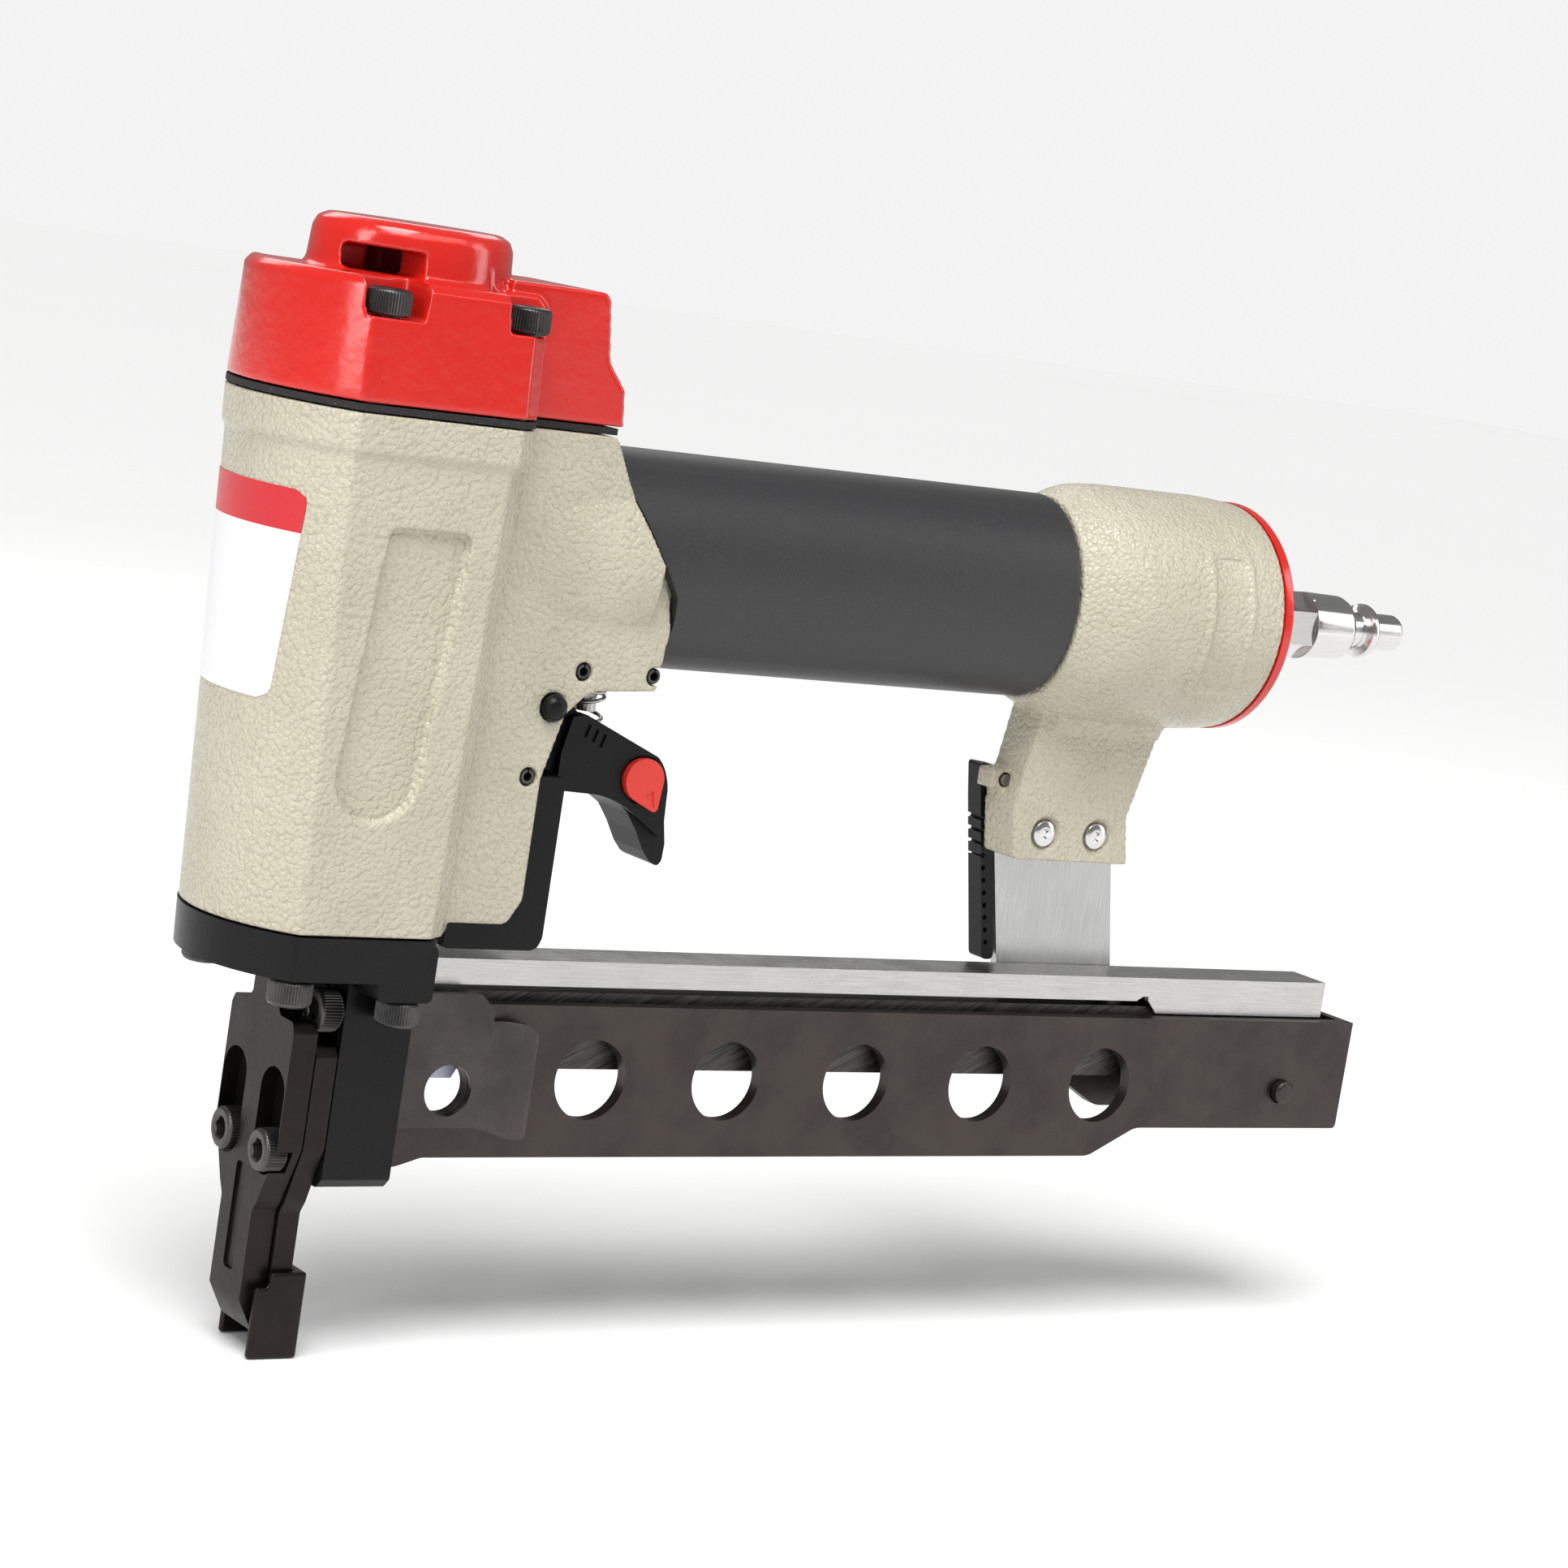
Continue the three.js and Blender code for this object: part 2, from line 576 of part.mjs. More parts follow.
function makeContactArm() {
  const footBack = guideBack + 2 * gap + footWall;
  const link = box(footBack, armRear, armNear, armFar, 13, 26);
  const rise = box(armFront, armRear, armNear, armFar, 13, 79);
  const across = box(armFront, 30, armNear, armFar, 75, 79);
  const riser = box(24.5, 30, armNear, armFar, 75, 105);
  const bridge = box(24.5, 32, -4, armFar, 101, 105);
  const shelf = box(24.5, 41.3, -4, 4, 101, 105);
  const tongue = box(38.3, 41.3, -2, 2, 101, tongueTop);
  return link.add(rise).add(across).add(riser).add(bridge).add(shelf).add(tongue);
}

const tongueTop = 122.4;

function makeArmCover() {
  let cover = sidePlate([
    [23.4, 86], [24, 85.4], [43, 85.4], [44.6, 86], [45.4, 88], [45.4, 119.4], [44.8, 119.8],
    [webRear + gap, 119.8], [webRear + gap, 96], [34.6, webBottom - gap], [23.4, webBottom - gap]], -11.4, 11.4, 0.5);
  cover = cover.subtract(box(20, 30.7, armNear - gap, armFar + gap, 80, 95));
  cover = cover.subtract(box(30, 41.8, -slotHalf, slotHalf, webBottom, 125));
  for (const side of [-1, 1]) {
    const low = side < 0 ? -slotHalf + gap : 5.4;
    cover = cover.add(box(36.4, 43, low, low + 3.6, 107.5, 119));
  }
  return cover;
}

// ---- trigger group ----
function makeTrigger() {
  const shape = new THREE.Shape();
  shape.moveTo(45.8, 116.6);
  shape.lineTo(55, 116.2);
  shape.quadraticCurveTo(60.5, 115.6, 66.3, 111.6);
  shape.lineTo(72, 107.8);
  shape.lineTo(71.6, 118);
  shape.quadraticCurveTo(70.8, 122.4, 68.2, 124.4);
  shape.lineTo(50.4, 131.8);
  shape.lineTo(47.4, 131.2);
  shape.lineTo(45.8, 124);
  const body = sideShape(shape, -7.6, 7.6, 0.8);
  const hook = sidePlate([
    [56, 118], [60.5, 115.3], [64.1, 112.7], [66.9, 109], [69.3, 105], [71.2, 102.9], [73, 102.1], [74, 103.2],
    [74.1, 106.8], [73.2, 111.3], [70.6, 119]], -5.6, 5.6, 0.8);
  const lugs = sidePlate([
    [34.5, 131.5], [37, 130], [42.5, 121], [46.5, 119], [50, 131], [47, 134.5], [40.5, 137.2], [35.5, 137],
    [33.6, 134.4]], -5.8, 5.8, 0.4);
  let trigger = body.add(hook).add(lugs);
  const cavity = sidePlate([
    [30, 115], [42, 112], [44, 119.8], [56.6, 118.2], [62.5, 115.6], [68.4, 115.8], [69.1, 121.6], [64, 145],
    [30, 145]], -4.3, 4.3);
  trigger = trigger.subtract(cavity);
  trigger = trigger.subtract(rod('y', pivotRadius + gap, -20, 20, pivotX, pivotZ));
  trigger = trigger.subtract(rod('y', 2.3, -20, 20, selectorX, selectorZ, 16));
  trigger = trigger.subtract(rod('y', 4.9, -20, -6.6, selectorX, selectorZ, 24));
  return trigger;
}

function makeSelector() {
  const plateNear = -8.9;
  const plateFar = -7.9;
  const angle = Math.atan2(113 - selectorZ, 69 - selectorX);
  const shape = new THREE.Shape();
  shape.absarc(selectorX, selectorZ, 4.4, angle + 1, angle - 1 + 2 * Math.PI, false);
  shape.lineTo(selectorX + 7.4 * Math.cos(angle), selectorZ + 7.4 * Math.sin(angle));
  const plate = sideShape(shape, plateNear, plateFar);
  const hub = rod('y', 4.3, plateFar - 0.5, -6.9, selectorX, selectorZ, 20);
  const shaft = rod('y', 2, -7, 7.2, selectorX, selectorZ, 12);
  return plate.add(hub).add(shaft);
}

function makeTriggerLever() {
  const blade = sidePlate([
    [40.7, 123.2], [48, 121.4], [62, 117], [66.8, 116.7], [68.3, 119.4], [66.6, 122.6], [60, 122.8],
    [50, 124.4], [41.2, 125.6]], -3.8, 3.8);
  return blade.subtract(rod('y', 2.3, -10, 10, selectorX, selectorZ, 16));
}

function makeValveHousing() {
  let valve = rod('z', valveRadius, valveFoot, valveFoot + 15, valveX, 0, 16);
  valve = valve.subtract(rod('z', stemRadius + gap, valveFoot - 1, valveFoot + 20, valveX, 0, 16));
  for (const [x, z] of Object.values(rollPins)) {
    valve = valve.subtract(rod('y', rollRadius + gap, -30, 30, x, z, 10));
  }
  return valve;
}

// ---- magazine ----
function makeTopRail() {
  const end = 256.4;
  const flare = 205.5;
  let rail = box(railFront, end, -railHalf, railHalf, railBottom, railTop);
  rail = rail.add(box(flare, end, -railHalf, railHalf, channelTop + gap, railTop));
  rail = rail.subtract(box(0, 300, -railHalf + railWall, railHalf - railWall, 60, railTop - railWall));
  return rail.subtract(box(flare - 3, flare, -20, 0, 70, railBottom + 1));
}

function makeCore() {
  const half = stapleCrown / 2 - 1.45;
  const bar = box(blockFront + 0.5, coreEnd, -half, half, coreBottom, coreTop);
  const hollow = box(12, coreEnd + 5, -half + 1.1, half - 1.1, coreBottom - 5, coreTop - 1.2);
  return bar.subtract(hollow).subtract(rod('y', 1.8, -20, 20, corePin.x, corePin.z, 16));
}

const coreBottom = 60;
const coreEnd = 238;
const magazinePin = { x: 245.1, z: 58.1 };

function makeChannel() {
  const outline = (lowFront, lowRear) => [
    [channelFront, channelTop], [channelFront, lowFront - 2.2], [channelFront + 3, lowFront - 1.6],
    [channelFront + 8, lowFront], [193, lowFront], [205, lowRear], [channelRear, lowRear], [channelRear, channelTop]];
  const low = channelBottom;
  let channel = sidePlate(outline(low, low + channelRise), -channelOuter, -channelInner);
  channel = channel.add(sidePlate(outline(57.4, 50.6), channelInner, channelOuter));
  channel = channel.add(box(channelRear - 2.4, channelRear, -channelOuter, channelOuter, 50.6, channelTop));
  for (let i = 0; i < holeCount; i++) {
    channel = channel.subtract(rod('y', holeRadius, -30, 0, holeFirst + i * holePitch, holeLevel, 20));
  }
  channel = channel.subtract(rod('y', 5.15, -30, 30, 29.9, 57, 24));
  return channel.subtract(rod('y', 2.8, -30, 30, magazinePin.x, magazinePin.z, 16));
}

const guidePlateWall = 1.2;

function makeGuidePlate(side, end) {
  const inner = channelOuter + gap;
  const near = side < 0 ? -inner - guidePlateWall : inner;
  const plate = sidePlate([
    [blockRear + gap, 49.5], [end, 49.5], [end, 73], [end - 3.4, 76.3], [blockRear + gap, 76.3]],
  near, near + guidePlateWall);
  return plate.subtract(rod('y', 5.15, -30, 30, 29.9, 57, 24));
}

function makeFlaredPlate() {
  const flareNear = -channelOuter - gap - guidePlateWall - 2.6;
  const flare = sidePlate([[37, 70.6], [44.5, 70.6], [47.5, 67.5], [47.5, 47.8], [43, 48.2], [37, 49.5]],
    flareNear, flareNear + 3.2);
  const hollow = sidePlate([[36, 80], [38.5, 80], [46.6, 60], [46.6, 30], [36, 30]], -50, 50);
  const inside = flareNear + guidePlateWall;
  const lip = flare.subtract(hollow.intersect(box(38.2, 60, inside, inside + 3, 30, 90)));
  return makeGuidePlate(-1, 38).add(lip);
}

const pusherFront = 21;
const pusherRear = 34;

function makePusher() {
  const half = stapleCrown / 2 - 1.15;
  const outer = stapleCrown / 2;
  const bridge = coreBottom - gap - 1.4;
  const saddle = sidePlate([
    [pusherFront, bridge], [pusherRear - 1, bridge], [pusherRear + 1, 62], [pusherRear + 0.4, 68],
    [pusherRear - 2, coreTop - 0.3], [pusherFront, coreTop - 0.3]], -outer, outer);
  const passage = box(0, 60, -half, half, coreBottom - gap, 90);
  const tongue = box(pusherFront, pusherRear - 2, -2.6, 2.6, bridge, 71);
  return saddle.subtract(passage).add(tongue).subtract(rod('x', 1.5, 0, 60, 0, rodLevel, 12));
}

const rodLevel = 66;

// ---- rear bracket and release lever ----
const leverPinRadius = 1.25;
const leverPivot = { x: 161.2 + armShift, z: 122.9 };
const bracketNear = 5.9;
const bracketThickness = 2.2;

function makeBracket() {
  let bracket = sidePlate([[164.9, 117], [165.9, 106], [172.8, 75.4], [204.2, 75.4], [198.4, 104.4],
    [197, 117]].map(underBell),
    bracketNear, bracketNear + bracketThickness);
  for (const [x, z] of Object.values(rivets)) {
    bracket = bracket.subtract(rod('y', 1.8, 0, 20, x, z, 16));
  }
  return bracket;
}

function makeReleaseLever() {
  const lever = sidePlate([
    [158.4, 125.4], [163.8, 124.8], [163, 117.5], [170.2, 82.8], [167, 82.8], [159.8, 117.6],
  ].map(underBell),
  bracketNear, bracketNear + 4.6, 0.5);
  let result = lever;
  for (let i = 0; i < 7; i++) {
    const z = 112 - i * 4.2;
    const x = 160 + armShift + (117.6 - z) * 0.241;
    result = result.subtract(rod('y', 0.7, 0, 20, x, z, 8));
  }
  return result.subtract(rod('y', leverPinRadius + gap, 0, 20, leverPivot.x, leverPivot.z, 12));
}

function makeRivet(x, z) {
  const shank = rod('y', 1.5, -4.4, bracketNear + bracketThickness + 1.2, x, z, 12);
  const head = rod('y', 2.8, -4.6, -3.4 - gap, x, z, 20);
  const tail = rod('y', 2.8, bracketNear + bracketThickness + gap, bracketNear + bracketThickness + 1.4, x, z, 20);
  return shank.add(head).add(tail);
}

// ---- assembly ----
add('housing', makeHousing(), 'paint');
add('cylinder_cap', makeCap(), 'red');
add('cap_gasket', makeGasket(), 'seal');
capScrewPlaces.forEach(([x, y], i) => {
  add(`cap_screw_${i + 1}`, socketScrew('z', capScrewSeat + gap, 1, 25, x, y), 'black');
});
add('grip_sleeve', makeGrip(), 'rubber');
add('end_cap', makeEndCap(), 'red');
add('inlet_bushing', makeBushing(), 'black');
add('air_plug', makeAirPlug(), 'nickel');
add('cylinder_sleeve', ringAround(boreRadius, sleeveRadius, boreFloor + gap, bodyTop - 4), 'steel');
add('bumper', ringAround(7, boreRadius - gap, boreFloor + gap, boreFloor + bumperHeight, 20), 'rubber');
add('piston', makePiston(), 'steel');
add('piston_ring', ringAround(boreRadius - 2.3, boreRadius - 0.1, pistonBottom + 7.3, pistonBottom + 9.7), 'seal');
add('driver_blade', box(-0.75, 0.75, -5.2, 5.2, bladeBottom, pistonBottom + 3.6), 'steel');
add('head_valve', ringAround(6, boreRadius - 1, bodyTop - 3, bodyTop + 5, 24), 'black');
add('head_valve_spring', coil('z', 8.5, 0.7, bodyTop + 5.2, capBottom + 13.7, 3, 0, 0), 'steel');
add('nose_base', makeNoseBase(), 'black');
baseScrewPlaces.forEach(([x, y, rear], i) => {
  const seat = baseBottom - gap - rear * lobeDrop;
  add(`base_screw_${i + 1}`, socketScrew('z', seat, -1, boreFloor - 1.6 - seat, x, y), 'black');
});
add('driver_guide', makeDriverGuide(), 'blued');
add('front_plate', makeFrontPlate(), 'blued');
['right', 'left'].forEach((label, i) => {
  const side = i === 0 ? 1 : -1;
  add(`upper_nose_screw_${label}`,
    socketScrew('x', blockFront - gap, -1, 3, side * upperNoseScrew.y, upperNoseScrew.z), 'black');
  add(`lower_nose_screw_${label}`,
    socketScrew('x', -3.2 - gap, -1, 9, side * lowerNoseScrew.y, lowerNoseScrew.z), 'black');
});
add('nose_block', makeNoseBlock(), 'black');
add('contact_foot', makeContactFoot(), 'blued');
add('contact_arm', makeContactArm(), 'steel');
add('contact_arm_spring', coil('z', 2.6, 0.5, 105.2, 125.8, 6, 28.2, 1), 'steel');
add('arm_cover', makeArmCover(), 'black');
add('trigger', makeTrigger(), 'black');
add('trigger_pin', rod('y', pivotRadius, -webHalf - 1, webHalf + 0.8, pivotX, pivotZ)
  .add(rod('y', 2.7, -webHalf - 2.2, -webHalf - gap, pivotX, pivotZ, 20)), 'black');
add('trigger_spring', coil('z', 3.4, 0.4, 125.2, valveFoot - 0.2, 3, valveX, 0), 'steel');
add('selector', makeSelector(), 'red');
add('trigger_lever', makeTriggerLever(), 'steel');
add('valve_housing', makeValveHousing(), 'black');
add('valve_stem', rod('z', stemRadius, 131.6, 150, valveX, 0, 16), 'steel');
for (const [name, [x, z]] of Object.entries(rollPins)) {
  const pin = rod('y', rollRadius, -webHalf + 0.4, webHalf - 0.4, x, z, 10);
  add(name, pin.subtract(rod('y', 0.9, -40, 40, x, z, 8)), 'black');
}
add('top_rail', makeTopRail(), 'steel');
add('staple_core', makeCore(), 'blued');
add('core_pin', rod('y', 1.5, -11, armNear - 0.4, corePin.x, corePin.z, 12), 'steel');
add('rail_end_block', box(226, 238, -railHalf + railWall + gap, railHalf - railWall - gap,
  coreTop + gap, railTop - railWall - gap), 'steel');
add('magazine_channel', makeChannel(), 'blued');
add('guide_plate_left', makeFlaredPlate(), 'blued');
add('guide_plate_right', makeGuidePlate(1, 36), 'blued');
add('magazine_pin', rod('y', 2.5, -channelOuter - 2.2, channelOuter + 1, magazinePin.x, magazinePin.z, 20), 'blued');
add('pusher', makePusher(), 'zinc');
add('pusher_spring', coil('x', 2.1, 0.35, pusherRear - 1.4, coreEnd - 3, 13, 0, rodLevel), 'brass');
add('guide_rod', rod('x', 1.2, 12, coreEnd - 0.5, 0, rodLevel, 10), 'steel');
add('rear_bracket', makeBracket(), 'steel');
add('release_lever', makeReleaseLever(), 'black');
add('lever_pin', rod('y', leverPinRadius, 0.2, bracketNear + 5, leverPivot.x, leverPivot.z, 12), 'steel');
for (const [name, [x, z]] of Object.entries(rivets)) {
  add(name, makeRivet(x, z), 'nickel');
}

// The origin moves to the middle of the contact foot's rear wall, on its lower face.
group.position.x = -(guideBack + gap + footWall / 2);
group.position.z = -footBottom;

export default group;
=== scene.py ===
import bpy
import bmesh
import json
import math
from mathutils import Matrix, Vector


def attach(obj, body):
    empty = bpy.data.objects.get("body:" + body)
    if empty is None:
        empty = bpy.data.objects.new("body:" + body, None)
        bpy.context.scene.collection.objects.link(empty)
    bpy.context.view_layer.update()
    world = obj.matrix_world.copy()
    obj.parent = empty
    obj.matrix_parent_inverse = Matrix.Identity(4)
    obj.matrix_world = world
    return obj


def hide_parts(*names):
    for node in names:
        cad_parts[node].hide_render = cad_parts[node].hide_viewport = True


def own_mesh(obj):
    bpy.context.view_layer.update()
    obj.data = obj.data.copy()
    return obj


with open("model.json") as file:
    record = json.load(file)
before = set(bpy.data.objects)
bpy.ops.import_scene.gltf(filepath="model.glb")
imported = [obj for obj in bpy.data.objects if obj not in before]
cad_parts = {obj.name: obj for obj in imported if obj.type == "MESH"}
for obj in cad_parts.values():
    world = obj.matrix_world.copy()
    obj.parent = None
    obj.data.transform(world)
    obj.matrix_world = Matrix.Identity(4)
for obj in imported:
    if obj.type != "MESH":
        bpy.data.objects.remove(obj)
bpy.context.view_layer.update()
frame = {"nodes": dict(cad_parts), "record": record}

# Shapes below are in millimetres, measured from the driver blade; SHIFT moves them to the frame's origin.
SHIFT = (-4.6, 0, -3.5)


# ---------------------------------------------------------------- solids
def solid(verts, faces):
    mesh = bpy.data.meshes.new("shape")
    mesh.from_pydata([tuple(v) for v in verts], [], faces)
    bm = bmesh.new()
    bm.from_mesh(mesh)
    bmesh.ops.remove_doubles(bm, verts=bm.verts, dist=1e-4)
    bmesh.ops.recalc_face_normals(bm, faces=bm.faces)
    bm.to_mesh(mesh)
    bm.free()
    obj = bpy.data.objects.new("shape", mesh)
    bpy.context.scene.collection.objects.link(obj)
    return obj


def drop(obj):
    mesh = obj.data
    bpy.data.objects.remove(obj)
    bpy.data.meshes.remove(mesh)


def bake(obj):
    graph = bpy.context.evaluated_depsgraph_get()
    mesh = bpy.data.meshes.new_from_object(obj.evaluated_get(graph))
    drop(obj)
    done = bpy.data.objects.new("shape", mesh)
    bpy.context.scene.collection.objects.link(done)
    return done


def join(base, adds=(), cuts=()):
    tools = [("UNION", o) for o in adds] + [("DIFFERENCE", o) for o in cuts]
    for operation, tool in tools:
        m = base.modifiers.new("cut", "BOOLEAN")
        m.operation = operation
        m.solver = "MANIFOLD"
        m.object = tool
    done = bake(base)
    for _, tool in tools:
        drop(tool)
    return done


def common(base, tool):
    m = base.modifiers.new("cut", "BOOLEAN")
    m.operation = "INTERSECT"
    m.solver = "MANIFOLD"
    m.object = tool
    done = bake(base)
    drop(tool)
    return done


def loft(rings):
    count = len(rings[0])
    verts = [p for ring in rings for p in ring]
    faces = []
    for r in range(len(rings) - 1):
        for i in range(count):
            a = r * count + i
            b = r * count + (i + 1) % count
            faces.append((a, b, b + count, a + count))
    last = (len(rings) - 1) * count
    faces.append(tuple(range(count - 1, -1, -1)))
    faces.append(tuple(range(last, last + count)))
    return solid(verts, faces)


def box(x0, x1, y0, y1, z0, z1):
    low = [(x0, y0, z0), (x1, y0, z0), (x1, y1, z0), (x0, y1, z0)]
    return loft([low, [(x, y, z1) for x, y, _ in low]])


def circle(axis, radius, at, a, b, sides):
    ring = []
    for i in range(sides):
        t = 2 * math.pi * i / sides
        u = a + radius * math.cos(t)
        v = b + radius * math.sin(t)
        ring.append((at, u, v) if axis == "x" else (u, at, v) if axis == "y" else (u, v, at))
    return ring


def rod(axis, radius, start, end, a, b, sides=48):
    return loft([circle(axis, radius, at, a, b, sides) for at in (start, end)])


def turned(axis, profile, a, b, sides=64):
    """A stack of discs: profile holds (place, radius) from one end to the other."""
    return loft([circle(axis, radius, at, a, b, sides) for at, radius in profile])


def plate(outline, y0, y1):
    return loft([[(x, y, z) for x, z in outline] for y in (y0, y1)])


def front_plate(outline, x0, x1):
    return loft([[(x, y, z) for y, z in outline] for x in (x0, x1)])


def rounded(outline, radius, steps=5):
    """The outline with every corner turned into an arc of that radius where its sides allow."""
    count = len(outline)
    result = []
    for i in range(count):
        p = Vector(outline[i][:2])
        before = Vector(outline[i - 1][:2]) - p
        after = Vector(outline[(i + 1) % count][:2]) - p
        r = outline[i][2] if len(outline[i]) > 2 else radius
        turn = math.pi - before.angle(after)
        reach = r * math.tan(turn / 2)
        limit = 0.48 * min(before.length, after.length)
        reach = min(reach, limit)
        if turn < 0.05 or reach < 0.01:
            result.append((p.x, p.y))
            continue
        start = p + before.normalized() * reach
        end = p + after.normalized() * reach
        for k in range(steps + 1):
            t = k / steps
            q = start * (1 - t) ** 2 + p * 2 * t * (1 - t) + end * t * t
            result.append((q.x, q.y))
    return result


def barrel_ring(level, grow, plan, steps=40):
    tip, crease, half, rear = plan
    w = half + grow
    front = -tip - grow
    sagitta = -crease - front
    radius = (w * w + sagitta * sagitta) / (2 * sagitta)
    sweep = math.asin(min(1, w / radius))
    ring = []
    for i in range(steps + 1):
        t = sweep - 2 * sweep * i / steps
        ring.append((front + radius - radius * math.cos(t), radius * math.sin(t), level))
    back = [(rear - 4 + grow, w), (rear + grow, w - 3), (rear + 5 + grow, 12.5)]
    ring += [(x, -y, level) for x, y in back]
    ring += [(x, y, level) for x, y in reversed(back)]
    return ring


PLAN_TOP = (27.5, 18, 25, 19.5)
PLAN_LOW = (24.5, 13.5, 22.5, 18)


def plan_at(level):
    t = (level - 89.3) / 97.2
    return tuple(low + (top - low) * t for low, top in zip(PLAN_LOW, PLAN_TOP))


def oval(x, wide, high, centre, count=96):
    return [(x, wide * math.cos(2 * math.pi * i / count), centre + high * math.sin(2 * math.pi * i / count))
            for i in range(count)]


def place(obj, matrix):
    obj.data.transform(matrix)
    return obj


# ---------------------------------------------------------------- materials
def new_material(name):
    m = bpy.data.materials.new(name)
    m.use_nodes = True
    nodes = m.node_tree.nodes
    nodes.clear()
    shader = nodes.new("ShaderNodeBsdfPrincipled")
    out = nodes.new("ShaderNodeOutputMaterial")
    m.node_tree.links.new(shader.outputs[0], out.inputs[0])
    return m, nodes, m.node_tree.links, shader


def coords(nodes, links, scale):
    """Object coordinates in millimetres, stretched by scale."""
    where = nodes.new("ShaderNodeTexCoord")
    mapping = nodes.new("ShaderNodeMapping")
    mapping.inputs["Scale"].default_value = [1000 * s for s in scale]
    links.new(where.outputs["Object"], mapping.inputs["Vector"])
    return mapping.outputs["Vector"]


def noise(nodes, links, vector, size, detail=3.0, rough=0.55):
    n = nodes.new("ShaderNodeTexNoise")
    n.inputs["Scale"].default_value = 1.0 / size
    n.inputs["Detail"].default_value = detail
    n.inputs["Roughness"].default_value = rough
    links.new(vector, n.inputs["Vector"])
    return n.outputs["Fac"]


def remap(nodes, links, value, low, high, to_low, to_high):
    n = nodes.new("ShaderNodeMapRange")
    n.inputs["From Min"].default_value = low
    n.inputs["From Max"].default_value = high
    n.inputs["To Min"].default_value = to_low
    n.inputs["To Max"].default_value = to_high
    links.new(value, n.inputs["Value"])
    return n.outputs["Result"]


def mix_colour(nodes, links, factor, a, b):
    n = nodes.new("ShaderNodeMix")
    n.data_type = "RGBA"
    links.new(factor, n.inputs["Factor"])
    for socket, value in ((n.inputs["A"], a), (n.inputs["B"], b)):
        if isinstance(value, tuple):
            socket.default_value = (*value, 1)
        else:
            links.new(value, socket)
    return n.outputs["Result"]


def bump(nodes, links, height, depth, strength=1.0, below=None):
    n = nodes.new("ShaderNodeBump")
    n.inputs["Strength"].default_value = strength
    n.inputs["Distance"].default_value = depth / 1000
    links.new(height, n.inputs["Height"])
    if below is not None:
        links.new(below, n.inputs["Normal"])
    return n.outputs["Normal"]


def maths(nodes, links, operation, a, b):
    n = nodes.new("ShaderNodeMath")
    n.operation = operation
    for socket, value in zip(n.inputs, (a, b)):
        if isinstance(value, (int, float)):
            socket.default_value = value
        else:
            links.new(value, socket)
    return n.outputs[0]


def cells(nodes, links, vector, size, feature="SMOOTH_F1"):
    n = nodes.new("ShaderNodeTexVoronoi")
    n.feature = feature
    n.inputs["Scale"].default_value = 1.0 / size
    if feature == "SMOOTH_F1":
        n.inputs["Smoothness"].default_value = 0.7
    links.new(vector, n.inputs["Vector"])
    return n.outputs["Distance"]


def hammertone():
    m, nodes, links, shader = new_material("hammertone_beige")
    vector = coords(nodes, links, (1, 1, 1))
    wobble = noise(nodes, links, vector, 0.9, 3.0, 0.55)
    bent = nodes.new("ShaderNodeVectorMath")
    bent.operation = "MULTIPLY_ADD"
    links.new(vector, bent.inputs[0])
    bent.inputs[1].default_value = (1, 1, 1)
    shift = nodes.new("ShaderNodeTexNoise")
    shift.inputs["Scale"].default_value = 0.9
    links.new(vector, shift.inputs["Vector"])
    links.new(shift.outputs["Color"], bent.inputs[2])
    pebble = cells(nodes, links, bent.outputs[0], 1.0, "F1")
    dimple = remap(nodes, links, pebble, 0.35, 0.95, 0.0, 1.0)
    tone = noise(nodes, links, vector, 18, 2.0)
    height = maths(nodes, links, "ADD", maths(nodes, links, "MULTIPLY", wobble, 0.5),
                   maths(nodes, links, "MULTIPLY", dimple, -0.8))
    links.new(bump(nodes, links, height, 0.42, 0.8), shader.inputs["Normal"])
    base = mix_colour(nodes, links, remap(nodes, links, tone, 0.35, 0.65, 0, 1),
                      (0.475, 0.44, 0.34), (0.52, 0.485, 0.38))
    colour = mix_colour(nodes, links, remap(nodes, links, dimple, 0.5, 1.0, 0.0, 0.5), base, (0.40, 0.36, 0.265))
    links.new(colour, shader.inputs["Base Color"])
    links.new(remap(nodes, links, wobble, 0.3, 0.7, 0.2, 0.32), shader.inputs["Roughness"])
    return m


def enamel_red():
    m, nodes, links, shader = new_material("enamel_red")
    vector = coords(nodes, links, (1, 1, 1))
    peel = noise(nodes, links, vector, 3.2, 2.0, 0.5)
    fine = noise(nodes, links, vector, 1.0, 2.0, 0.5)
    normal = bump(nodes, links, peel, 0.2, 0.45)
    normal = bump(nodes, links, fine, 0.03, 0.4, normal)
    links.new(normal, shader.inputs["Normal"])
    tone = noise(nodes, links, vector, 14, 2.0)
    links.new(mix_colour(nodes, links, tone, (0.55, 0.011, 0.007), (0.63, 0.018, 0.011)), shader.inputs["Base Color"])
    links.new(remap(nodes, links, fine, 0.3, 0.7, 0.15, 0.22), shader.inputs["Roughness"])
    shader.inputs["Coat Weight"].default_value = 0.35
    shader.inputs["Coat Roughness"].default_value = 0.12
    return m


